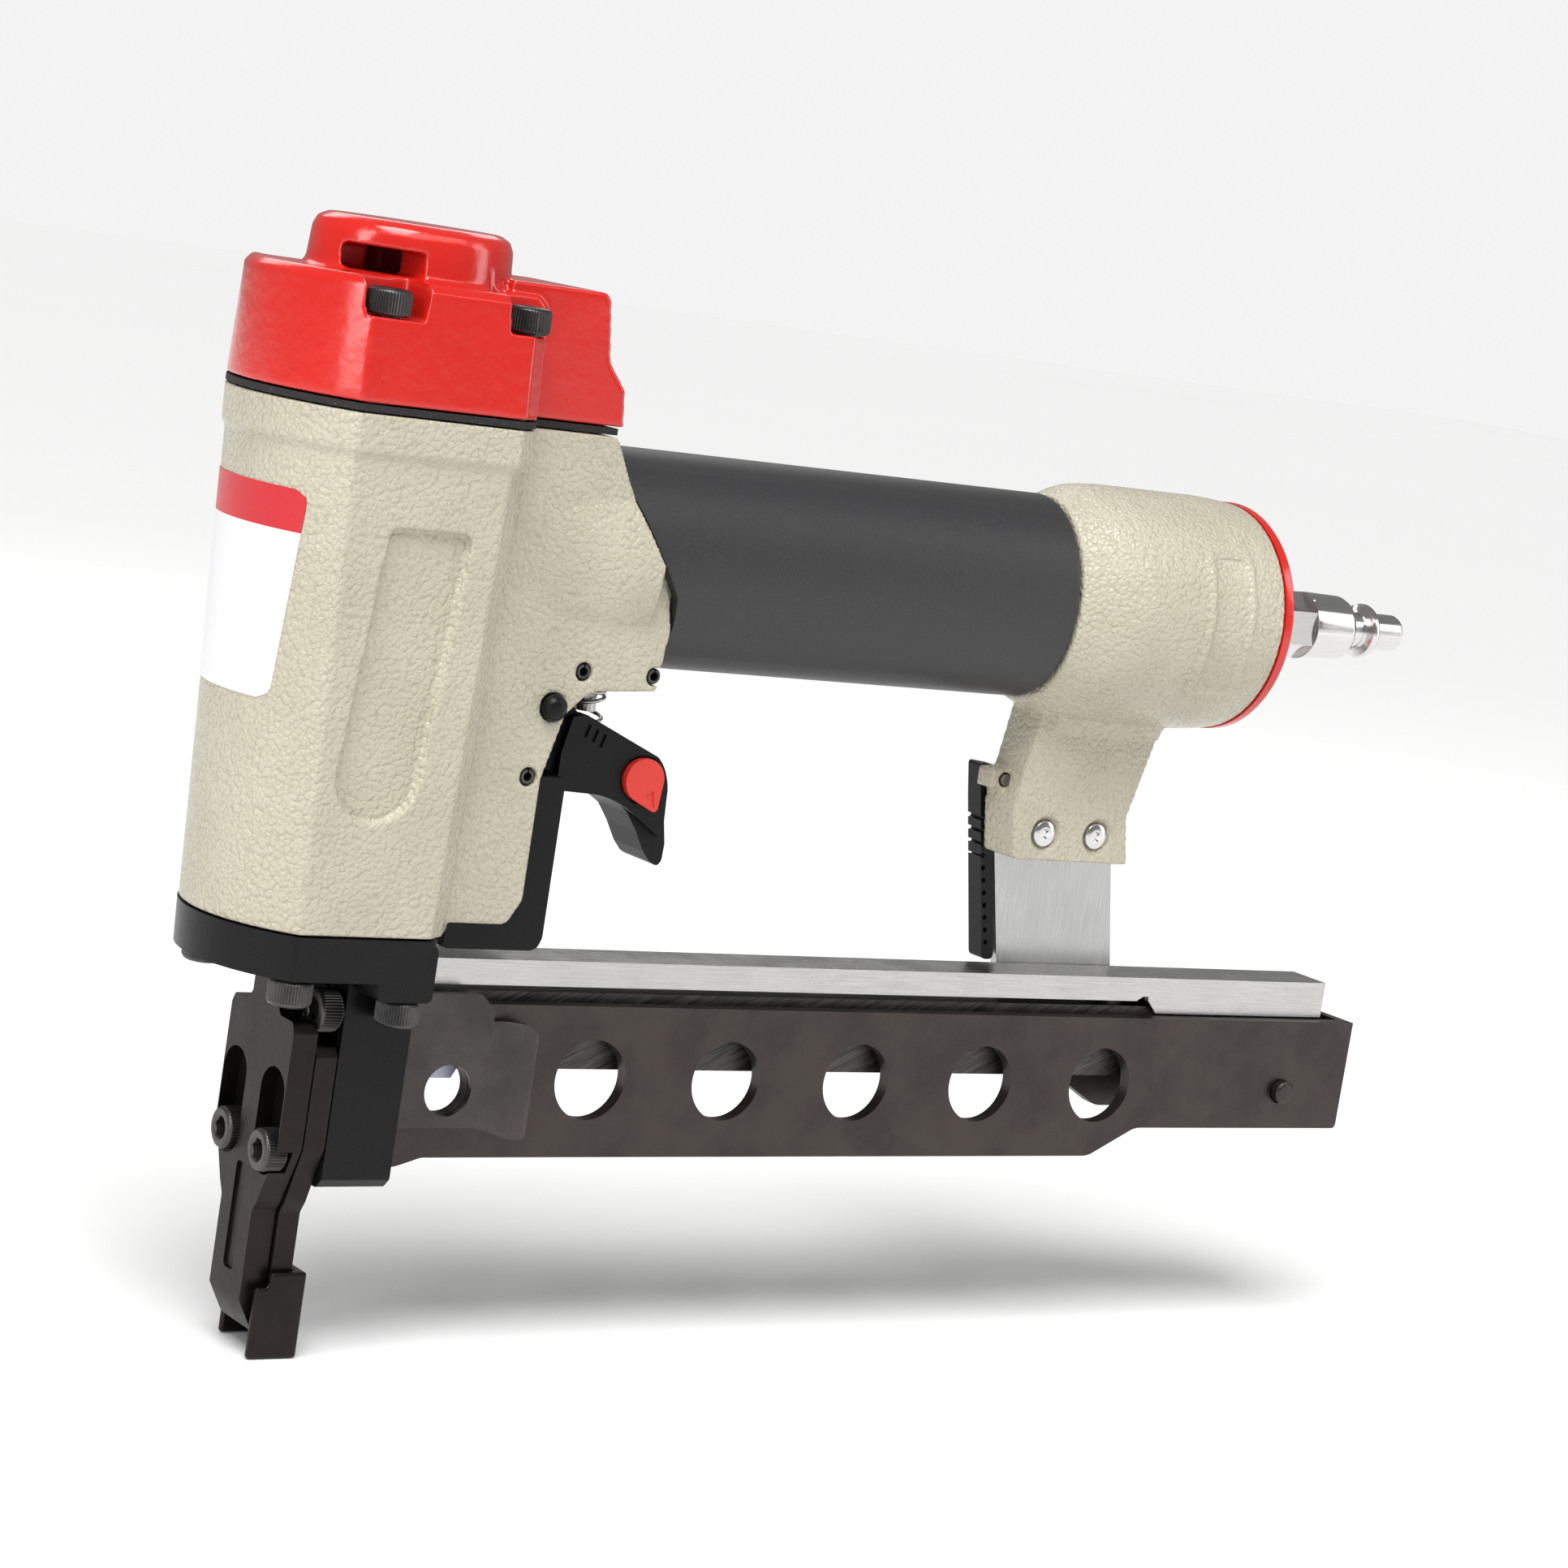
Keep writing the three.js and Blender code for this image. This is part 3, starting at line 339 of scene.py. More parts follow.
def speckled(name, base, light, roughness, size, depth, amount=0.5, shine=0.5):
    """Moulded rubber, nylon or gasket: fine grain with paler flecks."""
    m, nodes, links, shader = new_material(name)
    vector = coords(nodes, links, (1, 1, 1))
    grain = noise(nodes, links, vector, size, 4.0, 0.65)
    broad = noise(nodes, links, vector, 22, 2.0)
    links.new(bump(nodes, links, grain, depth, 0.8), shader.inputs["Normal"])
    flecks = maths(nodes, links, "MULTIPLY", remap(nodes, links, grain, 0.58, 0.75, 0, amount),
                   remap(nodes, links, broad, 0.3, 0.7, 0.6, 1.0))
    links.new(mix_colour(nodes, links, flecks, base, light), shader.inputs["Base Color"])
    links.new(remap(nodes, links, grain, 0.3, 0.7, roughness - 0.06, roughness + 0.06), shader.inputs["Roughness"])
    shader.inputs["Specular IOR Level"].default_value = shine
    return m


def brushed(name, base, along, roughness, depth=0.02, shade=0.75):
    """Rolled or ground metal whose fine lines run along one axis."""
    m, nodes, links, shader = new_material(name)
    stretch = [0.02 if axis == along else 1.0 for axis in "xyz"]
    vector = coords(nodes, links, stretch)
    lines = noise(nodes, links, vector, 0.28, 5.0, 0.7)
    cloud = noise(nodes, links, coords(nodes, links, (1, 1, 1)), 9, 4.0)
    links.new(bump(nodes, links, lines, depth, 0.7), shader.inputs["Normal"])
    dark = tuple(c * shade for c in base)
    links.new(mix_colour(nodes, links, remap(nodes, links, lines, 0.35, 0.65, 0, 1), dark, base),
              shader.inputs["Base Color"])
    links.new(maths(nodes, links, "ADD", remap(nodes, links, lines, 0.3, 0.7, roughness - 0.05, roughness + 0.07),
                    remap(nodes, links, cloud, 0.3, 0.7, -0.04, 0.06)), shader.inputs["Roughness"])
    shader.inputs["Metallic"].default_value = 1.0
    return m


def oxide(name, base, warm, roughness, along="x"):
    """Brown-black oxide on steel: mottling, rolling lines and a few pale scratches."""
    m, nodes, links, shader = new_material(name)
    vector = coords(nodes, links, (1, 1, 1))
    cloud = noise(nodes, links, vector, 13, 5.0, 0.62)
    fine = noise(nodes, links, vector, 0.8, 4.0, 0.6)
    stretch = [0.03 if axis == along else 1.0 for axis in "xyz"]
    lines = noise(nodes, links, coords(nodes, links, stretch), 0.6, 4.0, 0.7)
    scratch = remap(nodes, links, lines, 0.70, 0.78, 0, 0.35)
    tone = mix_colour(nodes, links, remap(nodes, links, cloud, 0.38, 0.62, 0, 1), base, warm)
    pale = tuple(min(1, c * 3.2) for c in warm)
    links.new(mix_colour(nodes, links, scratch, tone, pale), shader.inputs["Base Color"])
    normal = bump(nodes, links, lines, 0.02, 0.5)
    links.new(bump(nodes, links, fine, 0.03, 0.5, normal), shader.inputs["Normal"])
    links.new(maths(nodes, links, "ADD", remap(nodes, links, cloud, 0.35, 0.65, roughness - 0.07, roughness + 0.08),
                    remap(nodes, links, fine, 0.3, 0.7, -0.03, 0.05)), shader.inputs["Roughness"])
    shader.inputs["Metallic"].default_value = 0.85
    return m


def ground():
    """Dark ground bar with slanting grinding marks."""
    m, nodes, links, shader = new_material("ground_bar")
    where = nodes.new("ShaderNodeTexCoord")
    turn = nodes.new("ShaderNodeMapping")
    turn.inputs["Rotation"].default_value = (0, 0.45, 0)
    links.new(where.outputs["Object"], turn.inputs["Vector"])
    thin = nodes.new("ShaderNodeMapping")
    thin.inputs["Scale"].default_value = (45, 1000, 1000)
    links.new(turn.outputs["Vector"], thin.inputs["Vector"])
    marks = noise(nodes, links, thin.outputs["Vector"], 0.5, 5.0, 0.75)
    links.new(bump(nodes, links, marks, 0.05, 0.8), shader.inputs["Normal"])
    links.new(mix_colour(nodes, links, remap(nodes, links, marks, 0.35, 0.7, 0, 1), (0.03, 0.028, 0.027),
                         (0.17, 0.16, 0.155)), shader.inputs["Base Color"])
    links.new(remap(nodes, links, marks, 0.3, 0.7, 0.3, 0.5), shader.inputs["Roughness"])
    shader.inputs["Metallic"].default_value = 0.9
    return m


def paper():
    m, nodes, links, shader = new_material("label_print")
    vector = coords(nodes, links, (1, 1, 1))
    fibre = noise(nodes, links, vector, 0.5, 3.0)
    where = nodes.new("ShaderNodeTexCoord")
    split = nodes.new("ShaderNodeSeparateXYZ")
    links.new(where.outputs["Object"], split.inputs[0])
    header = maths(nodes, links, "GREATER_THAN", split.outputs["Z"], 0.1593)
    white = mix_colour(nodes, links, fibre, (0.74, 0.74, 0.76), (0.82, 0.82, 0.83))
    red = mix_colour(nodes, links, fibre, (0.52, 0.012, 0.02), (0.6, 0.02, 0.03))
    links.new(mix_colour(nodes, links, header, white, red), shader.inputs["Base Color"])
    links.new(bump(nodes, links, fibre, 0.015, 0.4), shader.inputs["Normal"])
    links.new(remap(nodes, links, fibre, 0.3, 0.7, 0.3, 0.4), shader.inputs["Roughness"])
    return m


PAINT = hammertone()
RED = enamel_red()
RUBBER = speckled("grip_rubber", (0.026, 0.025, 0.027), (0.11, 0.105, 0.11), 0.44, 0.4, 0.06, 0.5)
GASKET = speckled("gasket_fibre", (0.014, 0.014, 0.014), (0.16, 0.15, 0.14), 0.85, 0.55, 0.45, 1.0)
SEAL = speckled("seal_rubber", (0.012, 0.012, 0.012), (0.04, 0.04, 0.04), 0.6, 0.3, 0.03)
NYLON = speckled("black_nylon", (0.004, 0.004, 0.0045), (0.02, 0.02, 0.022), 0.38, 0.32, 0.07, 0.5, 0.22)
CASTING = speckled("black_casting", (0.004, 0.004, 0.0045), (0.022, 0.022, 0.024), 0.32, 0.5, 0.05, 0.4, 0.22)
URETHANE = speckled("bumper_urethane", (0.05, 0.04, 0.03), (0.09, 0.08, 0.06), 0.5, 0.8, 0.03)
RED_NYLON = speckled("selector_nylon", (0.66, 0.035, 0.025), (0.8, 0.09, 0.07), 0.42, 0.5, 0.03, 0.4)
STEEL_X = brushed("rolled_steel", (0.62, 0.61, 0.595), "x", 0.25)
STEEL_Z = brushed("strap_steel", (0.58, 0.58, 0.575), "z", 0.34)
TURNED = brushed("turned_steel", (0.56, 0.55, 0.54), "x", 0.3)
NICKEL = brushed("nickel_plate", (0.70, 0.69, 0.68), "x", 0.14, 0.006, 0.9)
ALUMINIUM = brushed("turned_aluminium", (0.62, 0.62, 0.63), "z", 0.3)
BRONZE = brushed("spring_bronze", (0.55, 0.4, 0.2), "z", 0.3)
ZINC = brushed("zinc_casting", (0.50, 0.50, 0.62), "z", 0.42, 0.02, 0.85)
BLUED = oxide("blued_steel", (0.050, 0.043, 0.041), (0.072, 0.060, 0.055), 0.34)
BLUED_Z = oxide("blued_plate", (0.020, 0.0165, 0.016), (0.030, 0.024, 0.022), 0.36, "z")
GUIDE_STEEL = oxide("guide_steel", (0.052, 0.047, 0.046), (0.078, 0.069, 0.065), 0.22, "z")
SCREW = oxide("screw_oxide", (0.05, 0.049, 0.05), (0.11, 0.105, 0.10), 0.32, "z")
GROUND = ground()
LABEL = paper()

CARRIED = {
    "cap_gasket": GASKET, "piston_ring": SEAL, "bumper": URETHANE, "head_valve": NYLON, "valve_housing": NYLON,
    "piston": ALUMINIUM, "cylinder_sleeve": TURNED, "driver_blade": TURNED,
    "contact_arm": STEEL_Z, "trigger_lever": STEEL_X,
    "valve_stem": TURNED, "staple_core": GROUND, "core_pin": SCREW, "rail_end_block": STEEL_X,
    "guide_plate_right": BLUED, "pusher": ZINC, "guide_rod": TURNED, "lever_pin": TURNED,
}
for name, obj in frame["nodes"].items():
    obj.data.materials.clear()
    obj.data.materials.append(CARRIED.get(name, BLUED))


# ---------------------------------------------------------------- finishing a piece
BODY_OF = {}
for body, members in frame["record"]["behaviour"]["bodies"].items():
    for member in members:
        BODY_OF[member] = body


def piece(name, obj, material, nodes, bevel=0.0, segments=3, angle=32, remesh=0.0, smooth=0, keep=1.0):
    """Rounds the edges, moves the shape into the frame, and ties it to the body of its first CAD node."""
    if remesh:
        m = obj.modifiers.new("skin", "REMESH")
        m.mode = "VOXEL"
        m.voxel_size = remesh
        if smooth:
            m = obj.modifiers.new("soften", "SMOOTH")
            m.factor = 0.5
            m.iterations = smooth
        if keep < 1:
            m = obj.modifiers.new("thin", "DECIMATE")
            m.ratio = keep
        obj = bake(obj)
    elif bevel:
        bm = bmesh.new()
        bm.from_mesh(obj.data)
        bmesh.ops.remove_doubles(bm, verts=bm.verts, dist=0.003)
        bmesh.ops.dissolve_limit(bm, angle_limit=math.radians(0.6), verts=bm.verts, edges=bm.edges)
        bm.to_mesh(obj.data)
        bm.free()
        m = obj.modifiers.new("edges", "BEVEL")
        m.width = bevel
        m.segments = segments
        m.limit_method = "ANGLE"
        m.angle_limit = math.radians(angle)
        m.miter_outer = "MITER_ARC"
        obj = bake(obj)
    mesh = obj.data
    for polygon in mesh.polygons:
        polygon.use_smooth = True
    mesh.set_sharp_from_angle(angle=math.radians(180 if remesh else 40))
    if not remesh:
        m = obj.modifiers.new("normals", "WEIGHTED_NORMAL")
        m.keep_sharp = True
        m.weight = 60
        obj = bake(obj)
        mesh = obj.data
    mesh.transform(Matrix.Scale(0.001, 4) @ Matrix.Translation(SHIFT))
    mesh.materials.clear()
    mesh.materials.append(material)
    obj.name = name
    mesh.name = name
    for polygon in mesh.polygons:
        polygon.material_index = 0
    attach(obj, BODY_OF[nodes[0]])
    return obj


def stand_in(name, obj, material, *nodes, **how):
    done = piece(name, obj, material, nodes, **how)
    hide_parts(*nodes)
    return done


# ---------------------------------------------------------------- housing
CAP_SCREWS = [(-13, -20.9), (16.5, -20.9), (-13, 20.9), (16.5, 20.9)]
BASE_SCREWS = [(-11.7, -18, 0), (11.7, -18, 1), (-11.7, 18, 0), (11.7, 18, 1)]
ROLL_PINS = {"roll_pin_front": (43.4, 141.2), "roll_pin_rear": (59.5, 141.3), "roll_pin_lower": (34.4, 120.2)}
RIVETS = {"bracket_rivet_front": (170.3, 112.6), "bracket_rivet_rear": (184.3, 112.6)}
BELL_Z = 162.0
PANEL_DEPTH = 1.5


def bell_point(x, degrees, lift):
    t = math.radians(degrees)
    radius = 25.2 + lift
    return (x, -radius * math.cos(t), BELL_Z + radius * math.sin(t))


def bell_strip(x0, x1, low, high, lift, steps=28):
    """A raised strip that follows the bell's near side between two angles."""
    rings = []
    for i in range(steps + 1):
        t = low + (high - low) * i / steps
        corners = ((x0, -1.5), (x1, -1.5), (x1, lift), (x0, lift))
        rings.append([bell_point(x, t, height) for x, height in corners])
    return loft(rings)


def make_housing():
    levels = [(89.3, 0), (178.5, 0), (179.6, 0.8), (186.5, 0.8)]
    barrel = loft([barrel_ring(level, grow, plan_at(level)) for level, grow in levels])
    web = plate(rounded([
        (14, 91.3), (34.3, 91.3, 2), (37.3, 96.3, 2), (37.3, 120.2), (40.6, 132.7), (44.5, 136.6), (47, 137.6),
        (60.3, 138.4),
        (60.3, 139.7), (61.5, 150.5), (60.2, 157), (54.3, 166), (47.5, 178), (43.2, 186.5), (14, 186.5)], 1.2, 3),
        -15.5, 15.5)
    root = loft([oval(x, wide, high, 162.5) for x, wide, high in ((20, 14.5, 40), (32, 16.2, 31), (44, 17.6, 25),
                                                                 (50, 18.5, 22), (56, 19, 20.2))])
    limit = plate([(20, 139.8), (60.5, 139.8), (61.5, 150.5), (60.2, 157), (54.3, 166), (47.5, 178),
                   (44.2, 184), (20, 184)], -19.4, 19.4)
    cheeks = common(root, limit)
    core = loft([oval(x, 15.1, 18.5, 162.5, 48) for x in (20, 161)])
    profile = [(159.3, 18, 21.8), (160.2, 18.6, 22.2), (162, 19.6, 23), (164.5, 21.2, 24), (167, 22.9, 24.7),
               (170, 24.1, 25), (173, 24.8, 25.2), (199, 25.2, 25.2), (204, 24.95, 24.95), (209, 24.4, 24.4)]
    bell = loft([oval(x, wide, high, BELL_Z) for x, wide, high in profile])
    arm = plate(rounded([(164.5, 142), (160.5, 118), (162.4, 107), (193.5, 106.8), (191.3, 117.1), (198, 142)],
                        1.0, 4), -5, 5.6)
    lip = plate([(157.6, 125), (163.6, 125.4), (163.2, 107), (160.4, 120.5), (157.6, 121)], 0.4, 5.6)
    flare = loft([[(x, y * wide, z) for x, y in ((167.5, -1), (196.5, -1), (196.5, 1), (167.5, 1))]
                  for z, wide in ((134.5, 5.1), (138, 6.5), (140.5, 9.5), (144, 15))])
    frame_parts = []
    for low, high, x0, x1 in ((-36, -34.4, 189.6, 198.4), (34.4, 36, 189.6, 198.4), (-35, 35, 188, 189.2),
                              (-35, 35, 198.8, 200)):
        frame_parts.append(bell_strip(x0, x1, low, high, 0.55, 40 if high - low > 10 else 3))
    for x, t in ((189, -34.8), (199, -34.8), (189, 34.8), (199, 34.8)):
        y = -25.2 * math.cos(math.radians(t))
        z = BELL_Z + 25.2 * math.sin(math.radians(t))
        spot = turned("z", [(-1, 1.0), (0.55, 1.0)], 0, 0, 20)
        out = Vector((0, y, z - BELL_Z)).normalized()
        place(spot, Matrix.Translation((x, y, z)) @ out.to_track_quat("Z", "X").to_matrix().to_4x4())
        frame_parts.append(spot)
    body = join(barrel, [web, cheeks, core, bell, arm, lip, flare] + frame_parts)
    cuts = [rod("z", 20, 93, 190, 0, 0), rod("z", 9, 80, 188, 0, 0), rod("x", 12, 12, 214, 0, 162.5),
            rod("x", 20, 171, 214, 0, 162),
            plate([(23.8, 86), (60, 86), (60, 135), (47, 138.9), (31.5, 138.9), (31.5, 126), (23.8, 126)], -9.3, 9.3),
            rod("z", 7.3, 131, 162.5, 54.5, 0), rod("y", 2.8, -30, 30, 37.5, 134)]
    cuts += [rod("y", 1.9, -30, 30, x, z, 32) for x, z in ROLL_PINS.values()]
    for x, z in RIVETS.values():
        cuts += [rod("y", 1.8, -10, 10, x, z, 24), turned("y", [(-10, 4.4), (-5, 4.0), (-3.4, 3.2)], x, z, 40)]
    cuts += [rod("z", 2.7, 178.5, 190, x, y, 24) for x, y in CAP_SCREWS]
    cuts += [rod("z", 2.7, 80, 92.2, x, y, 24) for x, y, _ in BASE_SCREWS]
    cuts.append(rod("y", 1.55, -0.5, 10, 161.2, 122.9, 24))
    body = join(body, (), cuts)
    return body


def make_panel():
    """The shallow blank panel in the flat side: slanted sides, round at the bottom."""
    centre, radius, bottom = -2.4, 8.7, 111
    turns = [math.pi * (1 + i / 16) for i in range(17)]
    foot = [(centre + radius * math.cos(t), bottom + radius + radius * math.sin(t)) for t in turns]
    outline = rounded([(9.7, 166.2, 2.2), (-7.7, 166.2, 2.2)] + [(x, z, 0) for x, z in foot], 0)
    rings = []
    for depth in (-2, PANEL_DEPTH):
        rings.append([(x, depth - plan_at(z)[2], z) for x, z in outline])
    return loft(rings)


housing = join(make_housing(), (), [make_panel()])
housing = stand_in("body_casting", housing, PAINT, "housing", remesh=0.45, smooth=1, keep=0.45)


# ---------------------------------------------------------------- cap and gasket
def make_cap():
    main = loft([barrel_ring(188.4, 0.8, PLAN_TOP), barrel_ring(209.3, 0.2, PLAN_TOP),
                 barrel_ring(210.8, -1.3, PLAN_TOP)])
    rear = plate(rounded([(16, 188.4), (44.6, 188.4, 0), (43.8, 195.4, 1.5), (39.6, 200.4, 3), (37.8, 212.3, 2),
                          (36.5, 213.3), (16, 213.3)], 1, 4), -14.5, 14.5)
    rings = []
    for level, inset in ((207.8, -1.4), (210.8, -0.6), (212, 0), (218, 0.4), (219.8, 1.2), (220.8, 3.2)):
        ring = []
        for i in range(96):
            t = math.pi * i / 48
            ring.append((1.7 + (19.7 - inset) * math.cos(t), (17.5 - inset) * math.sin(t), level))
        rings.append(ring)
    dome = loft(rings)
    cuts = [rod("z", 20, 180, 202.4, 0, 0), rod("z", 7.5, 188, 216.8, 0, 0), box(-16, -4, -30, 0, 211.1, 215.8),
            box(24, 38, -9, 9, 180, 197.4)]
    for x, y in CAP_SCREWS:
        side = 1 if y > 0 else -1
        low, high = sorted((y - side * 5.4, y + side * 12))
        far = x + (12 if x > 0 else 6.2)
        rings = []
        for level, grow in ((203.8, -0.4), (214.8, 0.4)):
            rings.append([(x - 6.2 - grow, low - grow, level), (far + grow, low - grow, level),
                          (far + grow, high + grow, level), (x - 6.2 - grow, high + grow, level)])
        cuts.append(loft(rings))
        cuts.append(rod("z", 2.7, 180, 205, x, y, 24))
    return join(main, [rear, dome], cuts)


stand_in("cap_casting", make_cap(), RED, "cylinder_cap", remesh=0.42, smooth=6, keep=0.5)


def make_gasket():
    sheet = loft([barrel_ring(z, 0.8, PLAN_TOP) for z in (186.8, 188.1)])
    tail = box(16, 43.4, -14.5, 14.5, 186.8, 188.1)
    cuts = [rod("z", 20, 180, 190, 0, 0)] + [rod("z", 2.7, 180, 190, x, y, 24) for x, y in CAP_SCREWS]
    return join(sheet, [tail], cuts)


stand_in("gasket_sheet", make_gasket(), GASKET, "cap_gasket", bevel=0.12, segments=2)


# ---------------------------------------------------------------- grip, end cap, inlet
def make_grip():
    profile = [(44, 17.4, 21.4), (66, 18, 21.4), (130, 18, 21.4), (157.4, 18, 21.4), (158.5, 17.6, 21), (159, 17, 20.4)]
    outer = loft([oval(x, wide, high, 162.5, 128) for x, wide, high in profile])
    inner = loft([oval(x, 15.4, 18.8, 162.5, 96) for x in (40, 164)])
    seat = plate([(20, 130), (60.8, 130), (62.1, 150.5), (60.8, 157.2), (54.9, 166.2), (48.1, 178.2), (42.8, 190),
                  (20, 190)], -30, 30)
    relief = rod("z", 9, 130, 150, 54.5, 0)
    return join(outer, (), [inner, seat, relief])


stand_in("grip_tube", make_grip(), RUBBER, "grip_sleeve", bevel=0.45, segments=3, angle=40)


def make_end_cap():
    ring = turned("x", [(209.3, 24.6), (211.1, 24.6), (211.7, 24.2), (211.9, 23.6)], 0, 162, 128)
    plug = turned("x", [(195, 19.5), (210.3, 19.5)], 0, 162, 64)
    bore = rod("x", 7.3, 189, 219, 0, 161.6)
    return join(ring, [plug], [bore])


stand_in("end_ring", make_end_cap(), RED, "end_cap", bevel=0.15, segments=2, angle=50)


def make_bushing():
    hexagon = rod("x", 9.8, 212.2, 225.4, 0, 161.6, 6)
    dome = turned("x", [(212, 9.9), (224.2, 9.9), (225.6, 8.4)], 0, 161.6, 64)
    hexagon = common(hexagon, dome)
    thread = rod("x", 7, 193, 212.9, 0, 161.6)
    return join(hexagon, [thread], [rod("x", 5, 189, 232, 0, 161.6)])


stand_in("inlet_hex", make_bushing(), CASTING, "inlet_bushing", bevel=0.35, segments=3)


def make_air_plug():
    start = 225.7
    outer = [(-12, 4.7), (0, 4.7), (0.02, 7.1), (0.4, 7.4), (10, 7.4), (19.0, 7.2), (20.2, 6.7), (20.9, 5.4), (21.4,
             4.3),
             (22, 4.1), (25, 4.1), (25.5, 4.5), (26.2, 5.8), (26.8, 6), (27.6, 6), (28.2, 5.7), (29.2, 4.5), (29.7,
             4.1),
             (36.1, 4.1), (36.8, 3.8), (37, 3.4)]
    body = turned("x", [(start + at, radius) for at, radius in outer], 0, 161.6, 96)
    cuts = [rod("x", 2.6, start - 20, start + 50, 0, 161.6, 48),
            box(start + 0.8, start + 8.6, -10, -6.35, 150, 172), box(start + 0.8, start + 8.6, 6.35, 10, 150, 172)]
    for angle in (60, 120):
        for side in (-1, 1):
            wedge = box(start + 0.8, start + 8.6, 6.35, 10, -11, 11)
            place(wedge, Matrix.Translation((0, 0, 161.6)) @ Matrix.Rotation(math.radians(angle), 4, "X")
                  @ Matrix.Diagonal((1, side, 1, 1)))
            bm = bmesh.new()
            bm.from_mesh(wedge.data)
            bmesh.ops.recalc_face_normals(bm, faces=bm.faces)
            bm.to_mesh(wedge.data)
            bm.free()
            cuts.append(wedge)
    return join(body, (), cuts)


stand_in("plug_turning", make_air_plug(), NICKEL, "air_plug", bevel=0.12, segments=2, angle=50)


# ---------------------------------------------------------------- screws, pins and rivets
def socket_screw(axis, seat, direction, shank, a, b, radius=4.25):
    """Knurled head above the seat, shank below it, hexagon socket in the top."""
    ridges = 44
    rings = []
    for at, grow, knurl in ((0, -0.45, 0), (0.35, -0.12, 0), (0.7, 0, 1), (4.1, 0, 1), (4.4, -0.12, 0), (4.75, -0.3, 0),
                            (5, -0.75, 0)):
        ring = []
        for i in range(ridges * 4):
            tooth = 0.0 if i % 4 in (0, 1) else -0.2
            r = radius + grow + (tooth if knurl else -0.1)
            t = 2 * math.pi * i / (ridges * 4)
            ring.append((r * math.cos(t), r * math.sin(t), at))
        rings.append(ring)
    head = loft(rings)
    stem = rod("z", 2.4, -shank, 0.4, 0, 0, 32)
    socket = rod("z", 2.3, 2.1, 6, 0, 0, 6)
    chamfer = turned("z", [(4.55, 2.0), (5.3, 2.9)], 0, 0, 32)
    screw = join(head, [stem], [socket, chamfer])
    turn = {"z": Matrix.Identity(4), "x": Matrix.Rotation(math.radians(90), 4, "Y")}[axis]
    if direction < 0:
        turn = turn @ Matrix.Rotation(math.pi, 4, "X")
    spot = {"z": (a, b, seat), "x": (seat, a, b)}[axis]
    return place(screw, Matrix.Translation(spot) @ turn @ Matrix.Rotation(0.35, 4, "Z"))


for i, (x, y) in enumerate(CAP_SCREWS):
    stand_in(f"cap_bolt_{i + 1}", socket_screw("z", 204.1, 1, 25, x, y), SCREW, f"cap_screw_{i + 1}")
for i, (x, y, rear) in enumerate(BASE_SCREWS):
    seat = 80.2 - rear * 3.5
    stand_in(f"base_bolt_{i + 1}", socket_screw("z", seat, -1, 7 + rear * 3, x, y), SCREW, f"base_screw_{i + 1}")
for label, side in (("right", 1), ("left", -1)):
    stand_in(f"upper_plate_bolt_{label}", socket_screw("x", 3.2, -1, 3, side * 9.6, 72.5), SCREW,
             f"upper_nose_screw_{label}")
    stand_in(f"lower_plate_bolt_{label}", socket_screw("x", -3.5, -1, 9, side * 7.9, 44.6), SCREW,
             f"lower_nose_screw_{label}")


def spring_pin(x, z):
    outer = turned("y", [(-15.1, 1.3), (-14.7, 1.6), (14.7, 1.6), (15.1, 1.3)], x, z, 40)
    slit = box(x - 0.18, x + 0.18, -20, 20, z, z + 3)
    return join(outer, (), [rod("y", 0.9, -20, 20, x, z, 32), slit])


for name, (x, z) in ROLL_PINS.items():
    stand_in(name.replace("roll", "spring"), spring_pin(x, z), SCREW, name)

pin_shape = turned("y", [(-17.7, 0.6), (-17.65, 1.3), (-17.4, 1.9), (-16.9, 2.4), (-16.3, 2.7), (-15.8, 2.7),
                   (-15.78, 2.5),
                         (15.9, 2.5), (16.3, 2.1)], 37.5, 134, 56)
stand_in("pivot_pin", pin_shape, CASTING, "trigger_pin")


def make_rivet(x, z):
    profile = [(-4.6, 1.3), (-4.6, 2.0), (-4.45, 2.6), (-4.2, 2.8), (-3.7, 2.8), (-3.68, 1.5), (8.38, 1.5), (8.4, 2.8),
               (9.2, 2.8), (9.5, 2.2)]
    return join(turned("y", profile, x, z, 48), (), [turned("y", [(-5.2, 1.5), (-4.0, 0.7)], x, z, 32)])


for name, (x, z) in RIVETS.items():
    stand_in(name.replace("bracket", "strap"), make_rivet(x, z), NICKEL, name)


# ---------------------------------------------------------------- nose
def make_nose_base():
    slab = loft([barrel_ring(80.5, -0.2, PLAN_LOW), barrel_ring(89, 0.2, PLAN_LOW)])
    slab = join(slab, (), [box(16.4, 40, -30, 30, 79.5, 90)])
    lobes = []
    for side in (-1, 1):
        low = -22.2 if side < 0 else 14
        lobes.append(plate(rounded([(4.6, 77), (16.4, 77), (16.4, 88), (4.6, 88)], 1.5), low, low + 8.2))
    cuts = [box(-1.4, 1.4, -5.8, 5.8, 75.5, 94), box(6.2, 30, 6.7, 9.3, 75.5, 94)]
    cuts += [rod("z", 2.7, 70, 94, x, y, 24) for x, y, _ in BASE_SCREWS]
    return join(slab, lobes, cuts)


stand_in("nose_flange", make_nose_base(), CASTING, "nose_base", bevel=0.6, segments=4, angle=40)


def nose_outline(shoulder, blade, tip):
    right = [(5.2, 79.9, 0), (5.2, shoulder + 2, 1), (7, shoulder, 1), (12, shoulder, 1.2), (13, shoulder - 2, 1.2),
             (13, 46, 6), (blade + 1.5, 34.5, 5), (blade, 32, 2), (blade, tip, 0.8)]
    left = [(-y, z, r) for y, z, r in reversed(right)]
    return rounded(right + left, 0, 6)


